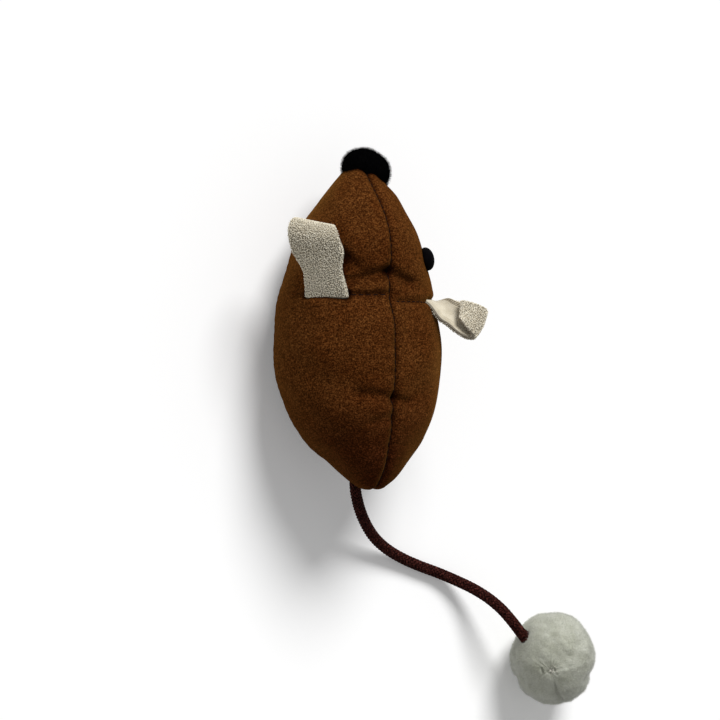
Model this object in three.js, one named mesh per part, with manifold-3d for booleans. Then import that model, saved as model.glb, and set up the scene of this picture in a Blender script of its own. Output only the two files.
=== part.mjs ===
// A stuffed cloth mouse for cats, in millimetres, +Z up.
// It stands on the flat of its belly, whose middle is the origin. The nose points to -Y, the tail to
// +Y, and the mouse's own left is +X. Three cloth panels make the body: two sides that meet in the
// back seam, each with a dart that holds an ear, and a belly panel between them.

import * as THREE from 'three';
import { mergeVertices } from 'three/addons/utils/BufferGeometryUtils.js';
import Module from 'manifold-3d';

const wasm = await Module();
wasm.setup();

// Fits
const clearance = 0.3;
const overrun = 4;

// Body form: length, widest line and rise of the back
const bodyLength = 110;
const bodyHalfWidth = 29;
const girthHeight = 24.7;
const backRise = 25.4;
const headRise = 6.5;
const dartDip = 2;
const rearLift = 9.8;
const restDepth = 0.5;

// The girth of the body over its length, from nose to tail: share of the length, share of the half width
const girthShares = [
  [0, 0], [0.008, 0.1], [0.03, 0.19], [0.062, 0.3], [0.11, 0.45], [0.2, 0.655], [0.3, 0.79],
  [0.42, 0.925], [0.52, 0.985], [0.62, 1], [0.71, 0.945], [0.8, 0.805], [0.88, 0.61], [0.945, 0.385],
  [0.985, 0.17], [1, 0],
];
const headEndShares = [0.2, 0.4];
const dipShares = [0.41, 0.05];
const rearLiftStartShare = 0.63;
const rearLiftBend = 1.8;
const bellyFullness = 1.4;
const bellySquareness = 0.8;

// Cloth of the body and its seams
const cloth = 1.2;
const seamAllowance = 4;
const seamGroove = 1.1;
const threadRadius = 0.4;
const bellySeamHeight = 8;
const bellySeamFrontRise = 9;
const bellySeamRearRise = 20;
const bellySeamBend = 4;

// Ears: two layers sewn together, their root caught in the dart
const earLength = 30;
const earRootWidth = 15;
const earWaistWidth = 13.6;
const earWidth = 18;
const terryThickness = 1;
const liningThickness = 0.6;
const earRootDepth = 0.3;
const earPlaceShare = 0.411;
const earSkew = 1.1;
const earInnerAngle = 34;
const earOuterAngle = 70;
const earForwardAngle = 24;
const earBackAngle = 150;
const leftEar = {
  side: 1, angle: 34, cup: 1.2, foldLength: 11.5, foldRadius: 3.4, lean: -6, twist: -6,
  pinch: 0, gatherShare: 0,
};
const rightEar = {
  side: -1, angle: 124, cup: 2.6, foldLength: 12.5, foldRadius: 2.6, lean: 2.4, twist: 42,
  pinch: 3, gatherShare: 0.22,
};
const earWaistShare = 0.28;
const earSpreadShare = 0.55;
const earTwistShare = 0.3;
const earCurlShare = 0.4;
const earTipStartShare = 0.55;
const earTipShare = 0.5;
const dartInnerAngle = 3;
const dartEndAngle = 84;
const dartThreadShares = [0.15, 0.9];
const backSeamStartShare = 0.06;
const backSeamUnderShares = [0.985, 0.97, 0.955];

// Eyes: domed buttons with a shank, held by a washer inside the panel
const eyeRadius = 4;
const eyeDome = 2.6;
const eyeRim = 0.7;
const eyeShankRadius = 1.1;
const eyeSeatDepth = 0.5;
const washerRadius = 4.2;
const washerThickness = 1;
const eyeAhead = 13.2;
const eyeAngle = 54;

// Nose: a small pompom on the end of the snout
const noseRadius = 8;
const noseSink = 1;
const noseHeight = 24;
const noseAside = -3.2;
const noseLump = 0.35;

// Tail: a round braided cord, with the route of its middle line
const cordRadius = 2;
const tailRoute = [
  [0, 51, 22.2], [-0.6, 53.9, 21.2], [-2.4, 57.2, 18.9], [-5.8, 61.8, 15.2], [-10.4, 66.8, 11.1],
  [-16, 71.7, 7.3], [-22.3, 75.7, 4.4], [-29.5, 79.2, 2.7], [-36.9, 82.1, 2.2], [-44.4, 84.7, 2.5],
  [-50.6, 87.4, 4.3], [-55.8, 90.3, 7.4], [-59.6, 93.4, 10.9], [-62.9, 97, 13.9], [-66.2, 101.2, 15.7],
  [-69.8, 105.6, 16.2],
];
const tailSteps = 20;
const anchorLength = 9;
const knotRadius = 4;
const endKnotRadius = 3.4;
const endKnotDepth = 7;
const exitRoom = 0.9;
const jointStandoff = 0.5;

// Tail pompom: a disc of plush gathered into a ball
const pompomRadius = 15;
const pompomAngle = 149;
const plush = 2;
const pompomLobes = 8;
const pompomLobeDepth = 0.9;
const closingSlit = { length: 5, width: 1.6 };
const closingTiltShares = [0.5, 0.25, 0.83];
const stitchSpread = 3.2;
const stitchPitch = 1.5;
const stitchCount = 5;

// Fineness
const bodyRows = 18;
const bodyColumns = 20;
const coreRows = 10;
const coreColumns = 12;
const earRows = 20;
const earColumns = 6;
const seamSteps = 18;
const sheetSteps = 18;
const dartSteps = 8;
const noseRows = 12;
const noseColumns = 18;
const pompomRows = 10;
const coverColumns = 32;
const fillColumns = 16;
const ballRows = 6;
const ballColumns = 12;
const rodSides = 12;
const turnedSides = 16;
const domeSteps = 5;

// Solids: a closed geometry becomes a solid that can be joined and cut

function solidOf(geometry) {
  const bare = geometry.index ? geometry.toNonIndexed() : geometry.clone();
  for (const name of Object.keys(bare.attributes)) {
    if (name !== 'position') bare.deleteAttribute(name);
  }
  const merged = mergeVertices(bare, 1e-4);
  const triVerts = [];
  const index = merged.index.array;
  for (let i = 0; i < index.length; i += 3) {
    const [a, b, c] = [index[i], index[i + 1], index[i + 2]];
    if (a !== b && b !== c && c !== a) triVerts.push(a, b, c);
  }
  return new wasm.Manifold(new wasm.Mesh({
    numProp: 3,
    vertProperties: new Float32Array(merged.attributes.position.array),
    triVerts: new Uint32Array(triVerts),
  }));
}

function geometryOf(solid) {
  const { numProp, vertProperties, triVerts } = solid.getMesh();
  const positions = new Float32Array(triVerts.length * 3);
  triVerts.forEach((vertex, i) => {
    for (let k = 0; k < 3; k += 1) positions[i * 3 + k] = vertProperties[vertex * numProp + k];
  });
  const geometry = new THREE.BufferGeometry();
  geometry.setAttribute('position', new THREE.BufferAttribute(positions, 3));
  geometry.computeVertexNormals();
  return geometry;
}

// Rings of points, each ring a closed loop or a single point at a pole, skinned from first to last.
// A ring turns by the right-hand rule about the way from the first ring to the last.
function skinned(rings) {
  const positions = [];
  const face = (...corners) => corners.forEach((p) => positions.push(p.x, p.y, p.z));
  for (let i = 0; i + 1 < rings.length; i += 1) {
    const [near, far] = [rings[i], rings[i + 1]];
    const count = Math.max(near.length, far.length);
    for (let j = 0; j < count; j += 1) {
      const k = (j + 1) % count;
      if (near.length === 1) face(near[0], far[k], far[j]);
      else if (far.length === 1) face(near[j], near[k], far[0]);
      else {
        face(near[j], near[k], far[j]);
        face(near[k], far[k], far[j]);
      }
    }
  }
  const geometry = new THREE.BufferGeometry();
  geometry.setAttribute('position', new THREE.Float32BufferAttribute(positions, 3));
  return solidOf(geometry);
}

function polygon(radius, sides) {
  const shape = new THREE.Shape();
  for (let i = 0; i < sides; i += 1) {
    const angle = (2 * Math.PI * i) / sides;
    const corner = [radius * Math.cos(angle), radius * Math.sin(angle)];
    if (i === 0) shape.moveTo(...corner);
    else shape.lineTo(...corner);
  }
  return shape;
}

function tube(points, radius, sides, steps) {
  const extrudePath = new THREE.CatmullRomCurve3(points);
  return solidOf(new THREE.ExtrudeGeometry(polygon(radius, sides), { steps, extrudePath }));
}

function rod(from, to, radius) {
  const extrudePath = new THREE.LineCurve3(from, to);
  return solidOf(new THREE.ExtrudeGeometry(polygon(radius, rodSides), { steps: 1, extrudePath }));
}

function ball(centre, radius) {
  return solidOf(new THREE.SphereGeometry(radius, ballColumns, ballRows).translate(...centre));
}

function box(low, high) {
  const size = high.clone().sub(low);
  const middle = high.clone().add(low).multiplyScalar(0.5);
  return solidOf(new THREE.BoxGeometry(...size).translate(...middle));
}

function joined(...solids) {
  return solids.reduce((whole, next) => whole.add(next));
}

function cutBy(solid, ...cutters) {
  return cutters.reduce((left, cutter) => left.subtract(cutter), solid);
}

// Body form

const girthCurve = new THREE.SplineCurve(girthShares.map(([x, y]) => new THREE.Vector2(x, y)));

function bodyPoint(t, angle, inset = 0) {
  const { x: share, y } = girthCurve.getPoint(t);
  const girth = Math.max(y, 0);
  const beyond = Math.max(share - rearLiftStartShare, 0) / (1 - rearLiftStartShare);
  const middle = girthHeight + rearLift * beyond ** rearLiftBend;
  const head = 1 - THREE.MathUtils.smoothstep(share, ...headEndShares);
  const dip = Math.exp(-(((share - dipShares[0]) / dipShares[1]) ** 2));
  const rise = (backRise + headRise * head - dartDip * dip - inset) * girth;
  const drop = (girthHeight + restDepth - inset) * (1 - (1 - Math.min(girth, 1)) ** bellyFullness);
  const [side, up] = [Math.sin(angle), Math.cos(angle)];
  const bend = up < 0 ? bellySquareness : 1;
  return new THREE.Vector3(
    (bodyHalfWidth - inset) * girth * Math.sign(side) * Math.abs(side) ** bend,
    (bodyLength - 2 * inset) * (share - 0.5),
    middle + (up < 0 ? -drop * Math.abs(up) ** bend : rise * up),
  );
}

function bodyNormal(t, angle) {
  const step = 1e-3;
  const inside = THREE.MathUtils.clamp(t, step, 1 - step);
  const along = bodyPoint(inside + step, angle).sub(bodyPoint(inside - step, angle));
  const around = bodyPoint(inside, angle + step).sub(bodyPoint(inside, angle - step));
  return around.cross(along).normalize();
}

// The place t on the girth curve that lies at a share of the length
function placeAt(share) {
  let [low, high] = [0, 1];
  while (high - low > 1e-6) {
    const middle = (low + high) / 2;
    if (girthCurve.getPoint(middle).x < share) low = middle;
    else high = middle;
  }
  return low;
}

function bodyRings(rows, columns, ringPoint) {
  return Array.from({ length: rows + 1 }, (_, i) => {
    const pole = i === 0 || i === rows;
    return Array.from({ length: pole ? 1 : columns }, (__, j) => (
      ringPoint(i / rows, (2 * Math.PI * j) / columns, pole)
    ));
  });
}

function below(height) {
  const reach = 2 * bodyLength;
  return box(new THREE.Vector3(-reach, -reach, -reach), new THREE.Vector3(reach, reach, height));
}

// The body with its cloth peeled off to a depth, and flat where it stands
function bodyForm(depth) {
  const rings = bodyRings(bodyRows, bodyColumns, (t, angle, pole) => {
    const normal = pole ? new THREE.Vector3(0, Math.sign(t - 0.5), 0) : bodyNormal(t, angle);
    return bodyPoint(t, angle).addScaledVector(normal, -depth);
  });
  return skinned(rings).subtract(below(depth));
}

// The same form made smaller in all its sizes, which bounds the seam allowances inside
function bodyCore(inset) {
  const rings = bodyRings(coreRows, coreColumns, (t, angle) => bodyPoint(t, angle, inset));
  return skinned(rings).subtract(below(inset));
}

// The belly seam lies on a sheet that runs level across the body, low at the middle of its length
function bellySeamAt(y) {
  const offset = (2 * y) / bodyLength;
  const climb = offset < 0 ? bellySeamFrontRise : bellySeamRearRise;
  return bellySeamHeight + climb * Math.abs(offset) ** bellySeamBend;
}

function bellySeamSheet(low, high) {
  const reach = bodyLength / 2 + overrun;
  const line = Array.from({ length: sheetSteps + 1 }, (_, i) => {
    const y = reach * ((2 * i) / sheetSteps - 1);
    return new THREE.Vector2(y, bellySeamAt(y));
  });
  const shift = (by) => line.map((p) => new THREE.Vector2(p.x, p.y + by));
  const shape = new THREE.Shape([...shift(low), ...shift(high).reverse()]);
  const geometry = new THREE.ExtrudeGeometry(shape, { depth: bodyLength, bevelEnabled: false });
  geometry.translate(0, 0, -bodyLength / 2);
  const basis = new THREE.Matrix4().makeBasis(
    new THREE.Vector3(0, 1, 0), new THREE.Vector3(0, 0, 1), new THREE.Vector3(1, 0, 0),
  );
  return solidOf(geometry.applyMatrix4(basis));
}

// A slab of thickness width each side of the middle plane
function middleSlab(halfWidth) {
  const reach = bodyLength;
  return box(new THREE.Vector3(-halfWidth, -reach, -reach), new THREE.Vector3(halfWidth, reach, reach));
}

// Ears: the dart's straight stretch is the hinge line of the root

function onBody(share, degrees) {
  const t = placeAt(share);
  const angle = THREE.MathUtils.degToRad(degrees);
  return { point: bodyPoint(t, angle), normal: bodyNormal(t, angle) };
}

const earLayerGap = clearance / 2;
const earRootRadius = earLayerGap + terryThickness;

// The darts don't quite meet: the left one lies a little nearer the nose
function dartShare(side) {
  return earPlaceShare - (side * earSkew) / bodyLength;
}

function earFrame(side) {
  const share = dartShare(side);
  const inner = onBody(share, side * earInnerAngle).point;
  const outer = onBody(share, side * earOuterAngle).point;
  const { normal } = onBody(share, (side * (earInnerAngle + earOuterAngle)) / 2);
  const axis = inner.clone().sub(outer).multiplyScalar(side).normalize();
  normal.addScaledVector(axis, -normal.dot(axis)).normalize();
  const forward = normal.clone().cross(axis);
  const centre = inner.clone().add(outer).multiplyScalar(0.5).addScaledVector(normal, -earRootDepth);
  const basis = new THREE.Matrix4().makeBasis(forward, normal, axis).setPosition(centre);
  return { centre, axis, basis };
}

// What the ear sweeps at its root, grown by a depth: a rounded valley in the cloth
function earWell(side, depth) {
  const radius = earRootRadius + clearance + depth;
  const [first, last] = [earForwardAngle, earBackAngle].map(THREE.MathUtils.degToRad);
  const reach = earLength;
  const at = (angle, offset) => [
    reach * Math.cos(angle) + radius * Math.cos(offset),
    reach * Math.sin(angle) + radius * Math.sin(offset),
  ];
  const [start, end] = [last + Math.PI / 2, first + 1.5 * Math.PI];
  const shape = new THREE.Shape();
  shape.moveTo(...at(last, start));
  shape.lineTo(radius * Math.cos(start), radius * Math.sin(start));
  shape.absarc(0, 0, radius, start, end, false);
  shape.lineTo(...at(first, end));
  shape.lineTo(0, reach);
  const width = earRootWidth + 2 * (clearance + depth);
  const options = { depth: width, bevelEnabled: false, curveSegments: 6 };
  const geometry = new THREE.ExtrudeGeometry(shape, options).translate(0, 0, -width / 2);
  return solidOf(geometry.applyMatrix4(earFrame(side).basis));
}

// Middle of the ear's two layers: x runs out along the ear, y through it, z across it. The root can
// be pinched in on its inner side, and the rest gathered in width.
function earPoint(ear, along, across) {
  const round = Math.max(along - earTipStartShare, 0) / (1 - earTipStartShare);
  const narrowing = THREE.MathUtils.smoothstep(along, 0, earWaistShare);
  const waist = THREE.MathUtils.lerp(earRootWidth - ear.pinch, earWaistWidth, narrowing);
  const spread = THREE.MathUtils.smoothstep(along, earWaistShare, earSpreadShare);
  const width = THREE.MathUtils.lerp(waist, earWidth, spread) * (1 - ear.gatherShare * narrowing)
    * Math.sqrt(1 - (1 - earTipShare ** 2) * round ** 2);
  const aside = -ear.side * (ear.pinch / 2) * (1 - narrowing) + ear.lean * along ** 2;
  const straight = earLength - ear.foldLength;
  const turn = Math.max(earLength * along - straight, 0) / ear.foldRadius;
  const bend = Math.min(turn, Math.PI);
  const beyond = ear.foldRadius * (turn - bend);
  const curl = THREE.MathUtils.smoothstep(along, 0, earCurlShare) * (1 + Math.cos(bend)) / 2;
  const sink = ear.cup * curl * across ** 2;
  const twist = THREE.MathUtils.degToRad(ear.twist) * THREE.MathUtils.smoothstep(along, 0, earTwistShare);
  const point = new THREE.Vector3(
    Math.min(earLength * along, straight) + (ear.foldRadius - sink) * Math.sin(bend) - beyond,
    -ear.foldRadius * (1 - Math.cos(bend)) - sink * Math.cos(bend),
    (width / 2) * across + aside,
  );
  return point.applyAxisAngle(new THREE.Vector3(1, 0, 0), twist);
}

function earNormal(ear, along, across) {
  const step = 1e-3;
  const [a, b] = [Math.max(along - step, 0), Math.min(along + step, 1)];
  const out = earPoint(ear, b, across).sub(earPoint(ear, a, across));
  const over = earPoint(ear, along, across + step).sub(earPoint(ear, along, across - step));
  return over.cross(out).normalize();
}

function earLayer(ear, low, high) {
  const rings = [];
  for (let i = 0; i <= earRows; i += 1) {
    const along = i / earRows;
    const side = (offset) => Array.from({ length: earColumns + 1 }, (_, j) => {
      const across = (2 * j) / earColumns - 1;
      const normal = i === 0 ? new THREE.Vector3(0, 1, 0) : earNormal(ear, along, across);
      return earPoint(ear, along, across).addScaledVector(normal, offset);
    });
    const ring = [...side(high), ...side(low).reverse()];
    const middle = side((low + high) / 2)[earColumns / 2];
    if (i === 0) rings.push([middle]);
    rings.push(ring);
    if (i === earRows) rings.push([middle]);
  }
  return skinned(rings);
}

// Eyes: each turned about its own line, which stands square to the cloth

const eyePlaceShare = earPlaceShare - eyeAhead / bodyLength;
const eyeSpot = onBody(eyePlaceShare, eyeAngle);

// How far the cloth at a place near the eye has fallen away from the eye's own plane
function fallAt(share, degrees) {
  return onBody(share, degrees).point.sub(eyeSpot.point).dot(eyeSpot.normal) * -1;
}

const eyeGirth = bodyHalfWidth * girthCurve.getPoint(placeAt(eyePlaceShare)).y;
const washerReach = washerRadius + clearance;
const eyeArc = THREE.MathUtils.radToDeg(washerReach / eyeGirth);
const eyeSag = fallAt(eyePlaceShare, eyeAngle + eyeArc)
  + fallAt(eyePlaceShare - washerReach / bodyLength, eyeAngle);
const facetSag = eyeGirth * (1 - Math.cos(Math.PI / bodyColumns));
const washerTop = -(cloth + eyeSag + facetSag + clearance);
const washerBottom = washerTop - washerThickness;
const shankEnd = washerBottom - clearance;
const eyeBase = clearance - eyeSeatDepth;

function turned(profile) {
  const points = profile.map(([x, y]) => new THREE.Vector2(x, y));
  return solidOf(new THREE.LatheGeometry(points, turnedSides));
}

function eyeSolid() {
  const dome = Array.from({ length: domeSteps + 1 }, (_, i) => {
    const angle = (Math.PI / 2) * (i / domeSteps);
    return [eyeRadius * Math.cos(angle), eyeBase + eyeRim + eyeDome * Math.sin(angle)];
  });
  dome[domeSteps][0] = 0;
  return turned([
    [0, shankEnd], [eyeShankRadius, shankEnd], [eyeShankRadius, eyeBase], [eyeRadius, eyeBase], ...dome,
  ]);
}

function washerSolid() {
  const bore = eyeShankRadius + clearance;
  return turned([
    [bore, washerBottom], [washerRadius, washerBottom], [washerRadius, washerTop], [bore, washerTop],
    [bore, washerBottom],
  ]);
}

// The room that an eye takes: its seat in the cloth and the shank's hole, or the pocket in the stuffing
function eyeSeat() {
  const bore = eyeShankRadius + clearance;
  const seat = eyeRadius + clearance;
  return turned([
    [0, shankEnd - overrun], [bore, shankEnd - overrun], [bore, -eyeSeatDepth],
    [seat, -eyeSeatDepth], [seat, overrun], [0, overrun],
  ]);
}

function eyePocket() {
  const wide = washerRadius + clearance;
  const bottom = shankEnd - clearance;
  return turned([[0, bottom], [wide, bottom], [wide, overrun], [0, overrun]]);
}

function eyeMatrix(side) {
  const normal = eyeSpot.normal.clone().multiply(new THREE.Vector3(side, 1, 1));
  const point = eyeSpot.point.clone().multiply(new THREE.Vector3(side, 1, 1));
  const turn = new THREE.Quaternion().setFromUnitVectors(new THREE.Vector3(0, 1, 0), normal);
  return new THREE.Matrix4().compose(point, turn, new THREE.Vector3(1, 1, 1));
}

function moved(solid, matrix) {
  return solidOf(geometryOf(solid).applyMatrix4(matrix));
}

// Seams: lines on the body, the grooves that the seams pull in, and the thread in each groove

const grooveFlat = seamGroove * Math.cos(Math.PI / 6);
const threadDepth = grooveFlat - threadRadius - clearance;
const noseCentre = new THREE.Vector3(noseAside, noseSink - bodyLength / 2, noseHeight);
const cordPoints = tailRoute.map((place) => new THREE.Vector3(...place));
const tailExit = cordPoints[0];

// Where the body's surface passes through the sheet of the belly seam
function crossing(above, below, pointAt) {
  let [high, low] = [above, below];
  for (let i = 0; i < 24; i += 1) {
    const middle = (low + high) / 2;
    const point = pointAt(middle);
    if (point.z > bellySeamAt(point.y)) high = middle;
    else low = middle;
  }
  return high;
}

const bellyMiddle = placeAt(0.5);
const bellyFront = crossing(0, bellyMiddle, (t) => bodyPoint(t, Math.PI));
const bellyRear = crossing(1, bellyMiddle, (t) => bodyPoint(t, Math.PI));

function seamPoint(t, angle, depth) {
  return bodyPoint(t, angle).addScaledVector(bodyNormal(t, angle), -depth);
}

function bellyLine(side, depth) {
  return Array.from({ length: seamSteps + 1 }, (_, i) => {
    const even = (1 - Math.cos((Math.PI * i) / seamSteps)) / 2;
    const t = THREE.MathUtils.lerp(bellyFront, bellyRear, even);
    const angle = crossing(Math.PI / 2, Math.PI, (a) => bodyPoint(t, a));
    return seamPoint(t, side * angle, depth);
  });
}

function backLine(depth) {
  const over = Array.from({ length: seamSteps }, (_, i) => (
    seamPoint(THREE.MathUtils.lerp(backSeamStartShare, 1, i / seamSteps), 0, depth)
  ));
  const tip = new THREE.Vector3(0, bodyLength / 2 - depth, bodyPoint(1, 0).z);
  const under = backSeamUnderShares.map((t) => seamPoint(t, Math.PI, depth));
  return [...over, tip, ...under];
}

function dartLine(side, from, to, depth) {
  const t = placeAt(dartShare(side));
  return Array.from({ length: dartSteps + 1 }, (_, i) => {
    const angle = THREE.MathUtils.degToRad(side * THREE.MathUtils.lerp(from, to, i / dartSteps));
    return seamPoint(t, angle, depth);
  });
}

function clearOfEnds(point) {
  return point.distanceTo(noseCentre) > noseRadius + clearance + threadRadius
    && point.distanceTo(tailExit) > cordRadius + exitRoom + threadRadius;
}

function groove(points) {
  return tube(points, seamGroove, 6, points.length);
}

function thread(points) {
  return tube(points.filter(clearOfEnds), threadRadius, 5, points.length);
}

// Body: cloth panels with their edges turned in, and the stuffing

const wells = (depth) => [earWell(1, depth), earWell(-1, depth)];
const outerForm = cutBy(bodyForm(0), ...wells(0));
const clothInside = cutBy(bodyForm(cloth), ...wells(cloth));
const skin = outerForm.subtract(clothInside);
const hem = outerForm.subtract(bodyCore(cloth + seamAllowance));
const seamGap = clearance / 2;
const foldEdge = seamGap + cloth;

const anchorWay = tailExit.clone().sub(cordPoints[1]).setX(0).normalize();
const knotCentre = tailExit.clone().addScaledVector(anchorWay, anchorLength);
const anchorRoom = joined(
  rod(tailExit, knotCentre, cordRadius + clearance),
  ball(tailExit, cordRadius + exitRoom),
  ball(knotCentre, knotRadius + clearance),
);

function sidePanel(side) {
  const reach = bodyLength;
  const edges = [side * seamGap, side * reach].sort((a, b) => a - b);
  const half = box(new THREE.Vector3(edges[0], -reach, -reach), new THREE.Vector3(edges[1], reach, reach));
  const dart = dartLine(side, dartInnerAngle, dartEndAngle, 0);
  const tuck = outerForm.intersect(tube(dart, seamGroove + cloth, 6, dart.length));
  const backFold = hem.intersect(middleSlab(foldEdge));
  const bellyFold = hem.intersect(bellySeamSheet(seamGap, foldEdge));
  const whole = joined(skin, tuck, backFold, bellyFold)
    .intersect(half)
    .intersect(bellySeamSheet(seamGap, reach));
  return cutBy(
    whole,
    groove(backLine(0)),
    groove(bellyLine(side, 0)),
    groove(dart),
    moved(eyeSeat(), eyeMatrix(side)),
    anchorRoom,
  );
}

function bellyPanel() {
  const whole = joined(skin, hem.intersect(bellySeamSheet(-foldEdge, -seamGap)))
    .intersect(bellySeamSheet(-bodyLength, -seamGap));
  return cutBy(whole, groove(bellyLine(1, 0)), groove(bellyLine(-1, 0)), anchorRoom);
}

function stuffing() {
  const room = foldEdge + clearance;
  const inside = bodyCore(cloth + seamAllowance + clearance);
  const tucks = [1, -1].map((side) => {
    const dart = dartLine(side, dartInnerAngle, dartEndAngle, 0);
    return tube(dart, seamGroove + cloth + clearance, 6, dart.length);
  });
  return cutBy(
    bodyForm(cloth + clearance),
    ...wells(cloth + clearance),
    middleSlab(room).subtract(inside),
    bellySeamSheet(-room, room).subtract(inside),
    ...tucks,
    moved(eyePocket(), eyeMatrix(1)),
    moved(eyePocket(), eyeMatrix(-1)),
    anchorRoom,
  );
}

// Rings of a ball from its lower pole to its upper one
function ballRings(rows, columns, ringPoint) {
  return Array.from({ length: rows + 1 }, (_, i) => {
    const polar = Math.PI * (1 - i / rows);
    const pole = i === 0 || i === rows;
    return Array.from({ length: pole ? 1 : columns }, (__, j) => (
      ringPoint(polar, (2 * Math.PI * j) / columns)
    ));
  });
}

function noseSolid() {
  const rings = ballRings(noseRows, noseColumns, (polar, turn) => {
    const lump = noseLump * Math.sin(3 * turn) * Math.sin(polar) * Math.sin(4 * polar);
    const point = new THREE.Vector3().setFromSphericalCoords(noseRadius + lump, polar, turn);
    return point.add(noseCentre);
  });
  return skinned(rings).subtract(bodyForm(-clearance));
}

// Tail: the inner end with its knot, and the free cord with a round end at each joint

function tailAnchor() {
  return joined(rod(tailExit, knotCentre, cordRadius), ball(knotCentre, knotRadius))
    .subtract(ball(tailExit, cordRadius + clearance));
}

const cordEnd = cordPoints[cordPoints.length - 1];

function tailCord() {
  return joined(
    tube(cordPoints, cordRadius, 10, tailSteps),
    ball(tailExit, cordRadius),
    ball(cordEnd, cordRadius),
  );
}

// Tail pompom: it stands on its flat, and the cord drops to the ground from high on its side

const pompomStand = pompomRadius - restDepth;
const pompomReach = pompomRadius + jointStandoff;
const pompomRise = pompomStand - cordEnd.z;
const pompomHeading = THREE.MathUtils.degToRad(pompomAngle);
const pompomWay = new THREE.Vector3(Math.cos(pompomHeading), Math.sin(pompomHeading), 0);
const pompomCentre = cordEnd.clone()
  .addScaledVector(pompomWay, Math.sqrt(pompomReach ** 2 - pompomRise ** 2))
  .setZ(pompomStand);
const pompomTurn = new THREE.Quaternion().setFromUnitVectors(
  new THREE.Vector3(0, 1, 0), new THREE.Vector3(...closingTiltShares).normalize(),
);

// A point of the gathered ball: polar is counted from its closed mouth, and the gathers run to it
function pompomPoint(polar, turn, depth) {
  const gather = (1 - Math.cos(pompomLobes * turn)) / 2;
  const radius = pompomRadius - depth - pompomLobeDepth * gather * Math.sin(polar) ** 2;
  return new THREE.Vector3().setFromSphericalCoords(radius, polar, turn).applyQuaternion(pompomTurn);
}

function pompomForm(depth, columns) {
  const rings = ballRings(pompomRows, columns, (polar, turn) => (
    pompomPoint(polar, turn, depth).add(pompomCentre)
  ));
  return skinned(rings).subtract(below(depth));
}

const endKnotCentre = cordEnd.clone().addScaledVector(
  pompomCentre.clone().sub(cordEnd).normalize(), endKnotDepth,
);
const endKnotRoom = joined(
  rod(cordEnd, endKnotCentre, cordRadius + clearance),
  ball(cordEnd, cordRadius + clearance),
  ball(endKnotCentre, endKnotRadius + clearance),
);

function endKnot() {
  return joined(rod(cordEnd, endKnotCentre, cordRadius), ball(endKnotCentre, endKnotRadius))
    .subtract(ball(cordEnd, cordRadius + clearance));
}

function closingMouth() {
  const { length, width } = closingSlit;
  const slit = new THREE.BoxGeometry(width, 2 * (plush + clearance), length);
  slit.translate(0, pompomRadius, 0).applyQuaternion(pompomTurn).translate(...pompomCentre);
  return solidOf(slit);
}

function pompomCover() {
  const hollow = pompomForm(plush, coverColumns);
  return cutBy(pompomForm(0, coverColumns), hollow, endKnotRoom, closingMouth());
}

function pompomStuffing() {
  return pompomForm(plush + clearance, fillColumns).subtract(endKnotRoom);
}

function closingThread() {
  const lift = threadRadius + clearance;
  const points = Array.from({ length: stitchCount }, (_, i) => {
    const x = (i % 2 ? stitchSpread : -stitchSpread) / 2;
    const y = stitchPitch * (i - (stitchCount - 1) / 2);
    const polar = Math.hypot(x, y) / pompomRadius;
    return pompomPoint(polar, Math.atan2(x, y), -lift).add(pompomCentre);
  });
  return tube(points, threadRadius, 5, 5 * stitchCount);
}

// Materials

const finish = (color, roughness) => new THREE.MeshStandardMaterial({ color, roughness, metalness: 0 });
const brownCloth = finish(0x54301a, 0.95);
const terry = finish(0xc4bba6, 1);
const earLining = finish(0xddd4bf, 0.95);
const blackPlush = finish(0x0b0a0a, 1);
const blackButton = finish(0x0a0909, 0.5);
const cordBraid = finish(0x3a1a14, 0.7);
const palePlush = finish(0xb6b8a8, 1);
const brownThread = finish(0x2a140b, 0.8);
const paleThread = finish(0xd9d6c8, 0.8);
const fibre = finish(0xf1eee6, 1);
const washerPlastic = finish(0xe8e6e0, 0.4);

// The mouse

const mouse = new THREE.Group();

function add(name, solid, material, centre = new THREE.Vector3(), parent = mouse) {
  const mesh = new THREE.Mesh(geometryOf(solid).translate(...centre.clone().negate()), material);
  mesh.name = name;
  mesh.position.copy(centre);
  parent.add(mesh);
}

add('side_panel_left', sidePanel(1), brownCloth);
add('side_panel_right', sidePanel(-1), brownCloth);
add('belly_panel', bellyPanel(), brownCloth);
add('body_stuffing', stuffing(), fibre);
add('back_seam_thread', thread(backLine(threadDepth)), brownThread);
for (const [word, side] of [['left', 1], ['right', -1]]) {
  const line = bellyLine(side, threadDepth).filter((point) => Math.abs(point.x) > seamAllowance);
  add(`belly_seam_thread_${word}`, thread(line), brownThread);
}

for (const [word, side] of [['left', 1], ['right', -1]]) {
  const [from, to] = dartThreadShares.map((share) => earInnerAngle * share);
  add(`dart_thread_${word}`, thread(dartLine(side, from, to, threadDepth)), brownThread);
}

for (const [word, ear] of [['left', leftEar], ['right', rightEar]]) {
  const hinge = new THREE.Group();
  earFrame(ear.side).basis.decompose(hinge.position, hinge.quaternion, hinge.scale);
  const flap = new THREE.Group();
  flap.rotation.z = THREE.MathUtils.degToRad(ear.angle);
  hinge.add(flap);
  mouse.add(hinge);
  const outer = earLayer(ear, earLayerGap, earLayerGap + terryThickness);
  const inner = earLayer(ear, -earLayerGap - liningThickness, -earLayerGap);
  add(`ear_${word}_terry`, outer, terry, new THREE.Vector3(), flap);
  add(`ear_${word}_lining`, inner, earLining, new THREE.Vector3(), flap);
}

for (const [word, side] of [['left', 1], ['right', -1]]) {
  const spot = new THREE.Group();
  eyeMatrix(side).decompose(spot.position, spot.quaternion, spot.scale);
  mouse.add(spot);
  add(`eye_${word}`, eyeSolid(), blackButton, new THREE.Vector3(), spot);
  add(`eye_washer_${word}`, washerSolid(), washerPlastic, new THREE.Vector3(), spot);
}

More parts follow.
